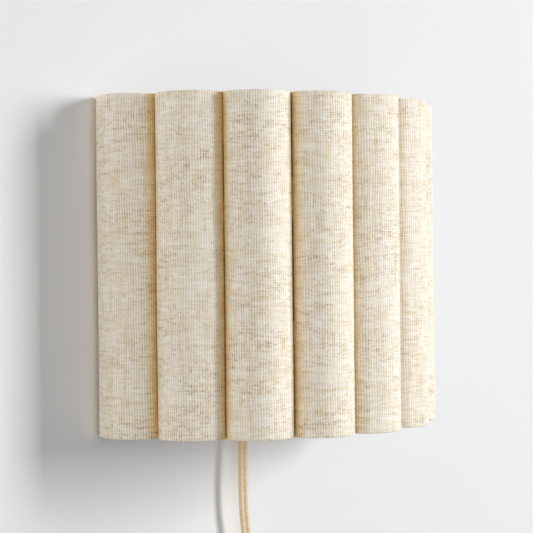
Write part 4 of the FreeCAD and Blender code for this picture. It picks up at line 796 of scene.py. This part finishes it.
powder_coat = surface("powder_coated_steel", "eceae4", "e2dfd8", 0.45, 0.9 * MM, 0.03 * MM)
zinc_steel = surface("zinc_plated_steel", "b9b9b4", "a5a5a0", 0.35, 0.5 * MM, 0.02 * MM, 1.0)
brass = surface("drawn_brass", "cfa65c", "c0954a", 0.28, 0.5 * MM, 0.02 * MM, 1.0, (1, 1, 6))
nickel = surface("nickel_plated_brass", "cfccc4", "c2beb5", 0.18, 0.4 * MM, 0.01 * MM, 1.0)
aluminium = surface("rolled_aluminium", "d4d5d6", "c6c7c8", 0.25, 0.4 * MM, 0.01 * MM, 1.0)
styrene = surface("white_styrene_sheet", "f2efe8", "e9e4da", 0.55, 1.2 * MM, 0.02 * MM)
nylon = surface("natural_nylon", "eae8df", "dfdccf", 0.5, 0.7 * MM, 0.02 * MM)
ivory_switch = surface("ivory_urea_moulding", "e9e2d2", "e2d9c6", 0.3, 0.6 * MM, 0.01 * MM)
ivory_plug = surface("ivory_pvc_moulding", "e6decd", "ddd3bf", 0.42, 0.6 * MM, 0.02 * MM)
white_holder = surface("white_thermoplastic", "efede6", "e6e3da", 0.35, 0.6 * MM, 0.01 * MM)
steatite = surface("glazed_steatite", "ece6d8", "e0d8c6", 0.3, 0.8 * MM, 0.02 * MM)
brown_pvc = surface("brown_pvc_insulation", "7a4a2b", "6b3f24", 0.4, 0.5 * MM, 0.01 * MM)
black_vitrite = surface("black_vitrite_glass", "17171a", "101013", 0.15, 0.5 * MM, 0.01 * MM)
phosphor = surface("phosphor_coating", "efc95a", "e2b943", 0.6, 0.4 * MM, 0.02 * MM)

# %% [markdown]
# Clear bulb glass is soda-lime, with an IOR of 1.52. It is so thin that the eye sees little
# but its edge and its highlights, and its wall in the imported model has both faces, so plain
# refraction gives that look.

# %% Bulb glass
clear_glass, tree, shader = new_material("clear_soda_lime_glass")
place = add_node(tree, "TexCoord")
ripple = add_node(tree, "TexNoise", {
    "Vector": place.outputs["Object"], "Scale": 1 / (9 * MM), "Detail": 1.0})
bump = add_node(tree, "Bump", {
    "Height": ripple.outputs["Fac"], "Strength": 0.15, "Distance": 0.1 * MM})
tree.links.new(bump.outputs[0], shader.inputs["Normal"])
shader.inputs["Base Color"].default_value = linear("fbfdfb")
shader.inputs["Roughness"].default_value = 0.02
shader.inputs["IOR"].default_value = 1.52
shader.inputs["Transmission Weight"].default_value = 1.0

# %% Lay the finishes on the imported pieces
for material, names in (
        (powder_coat, ("wall_plate", "shade_hooks", "canopy_cover", "top_wire", "bottom_wire",
                       "left_upright", "right_upright", "top_back_bar", "hanging_bar",
                       "bottom_back_bar")),
        (styrene, ("shade_liner",)),
        (zinc_steel, ("canopy_posts", "canopy_screws", "terminal_screws", "switch_screws")),
        (brass, ("arm_tube", "arm_collar", "arm_nut", "terminal_barrels", "thread_sleeve",
                 "centre_contact", "switch_contacts", "rocker_pin")),
        (nickel, ("plug_pins",)),
        (aluminium, ("bulb_cap", "bulb_contact")),
        (black_vitrite, ("bulb_insulator",)),
        (clear_glass, ("bulb_glass", "bulb_stem")),
        (phosphor, ("led_filaments",)),
        (nylon, ("terminal_block", "gland_nut")),
        (ivory_plug, ("plug_body", "plug_relief", "cord_gland")),
        (ivory_switch, ("switch_front", "switch_back", "switch_rocker")),
        (white_holder, ("lampholder_cap", "lampholder_barrel", "lampholder_ring")),
        (steatite, ("lampholder_core",)),
        (brown_pvc, ("supply_leads", "lamp_leads"))):
    for name in names:
        finish_node(name, material)
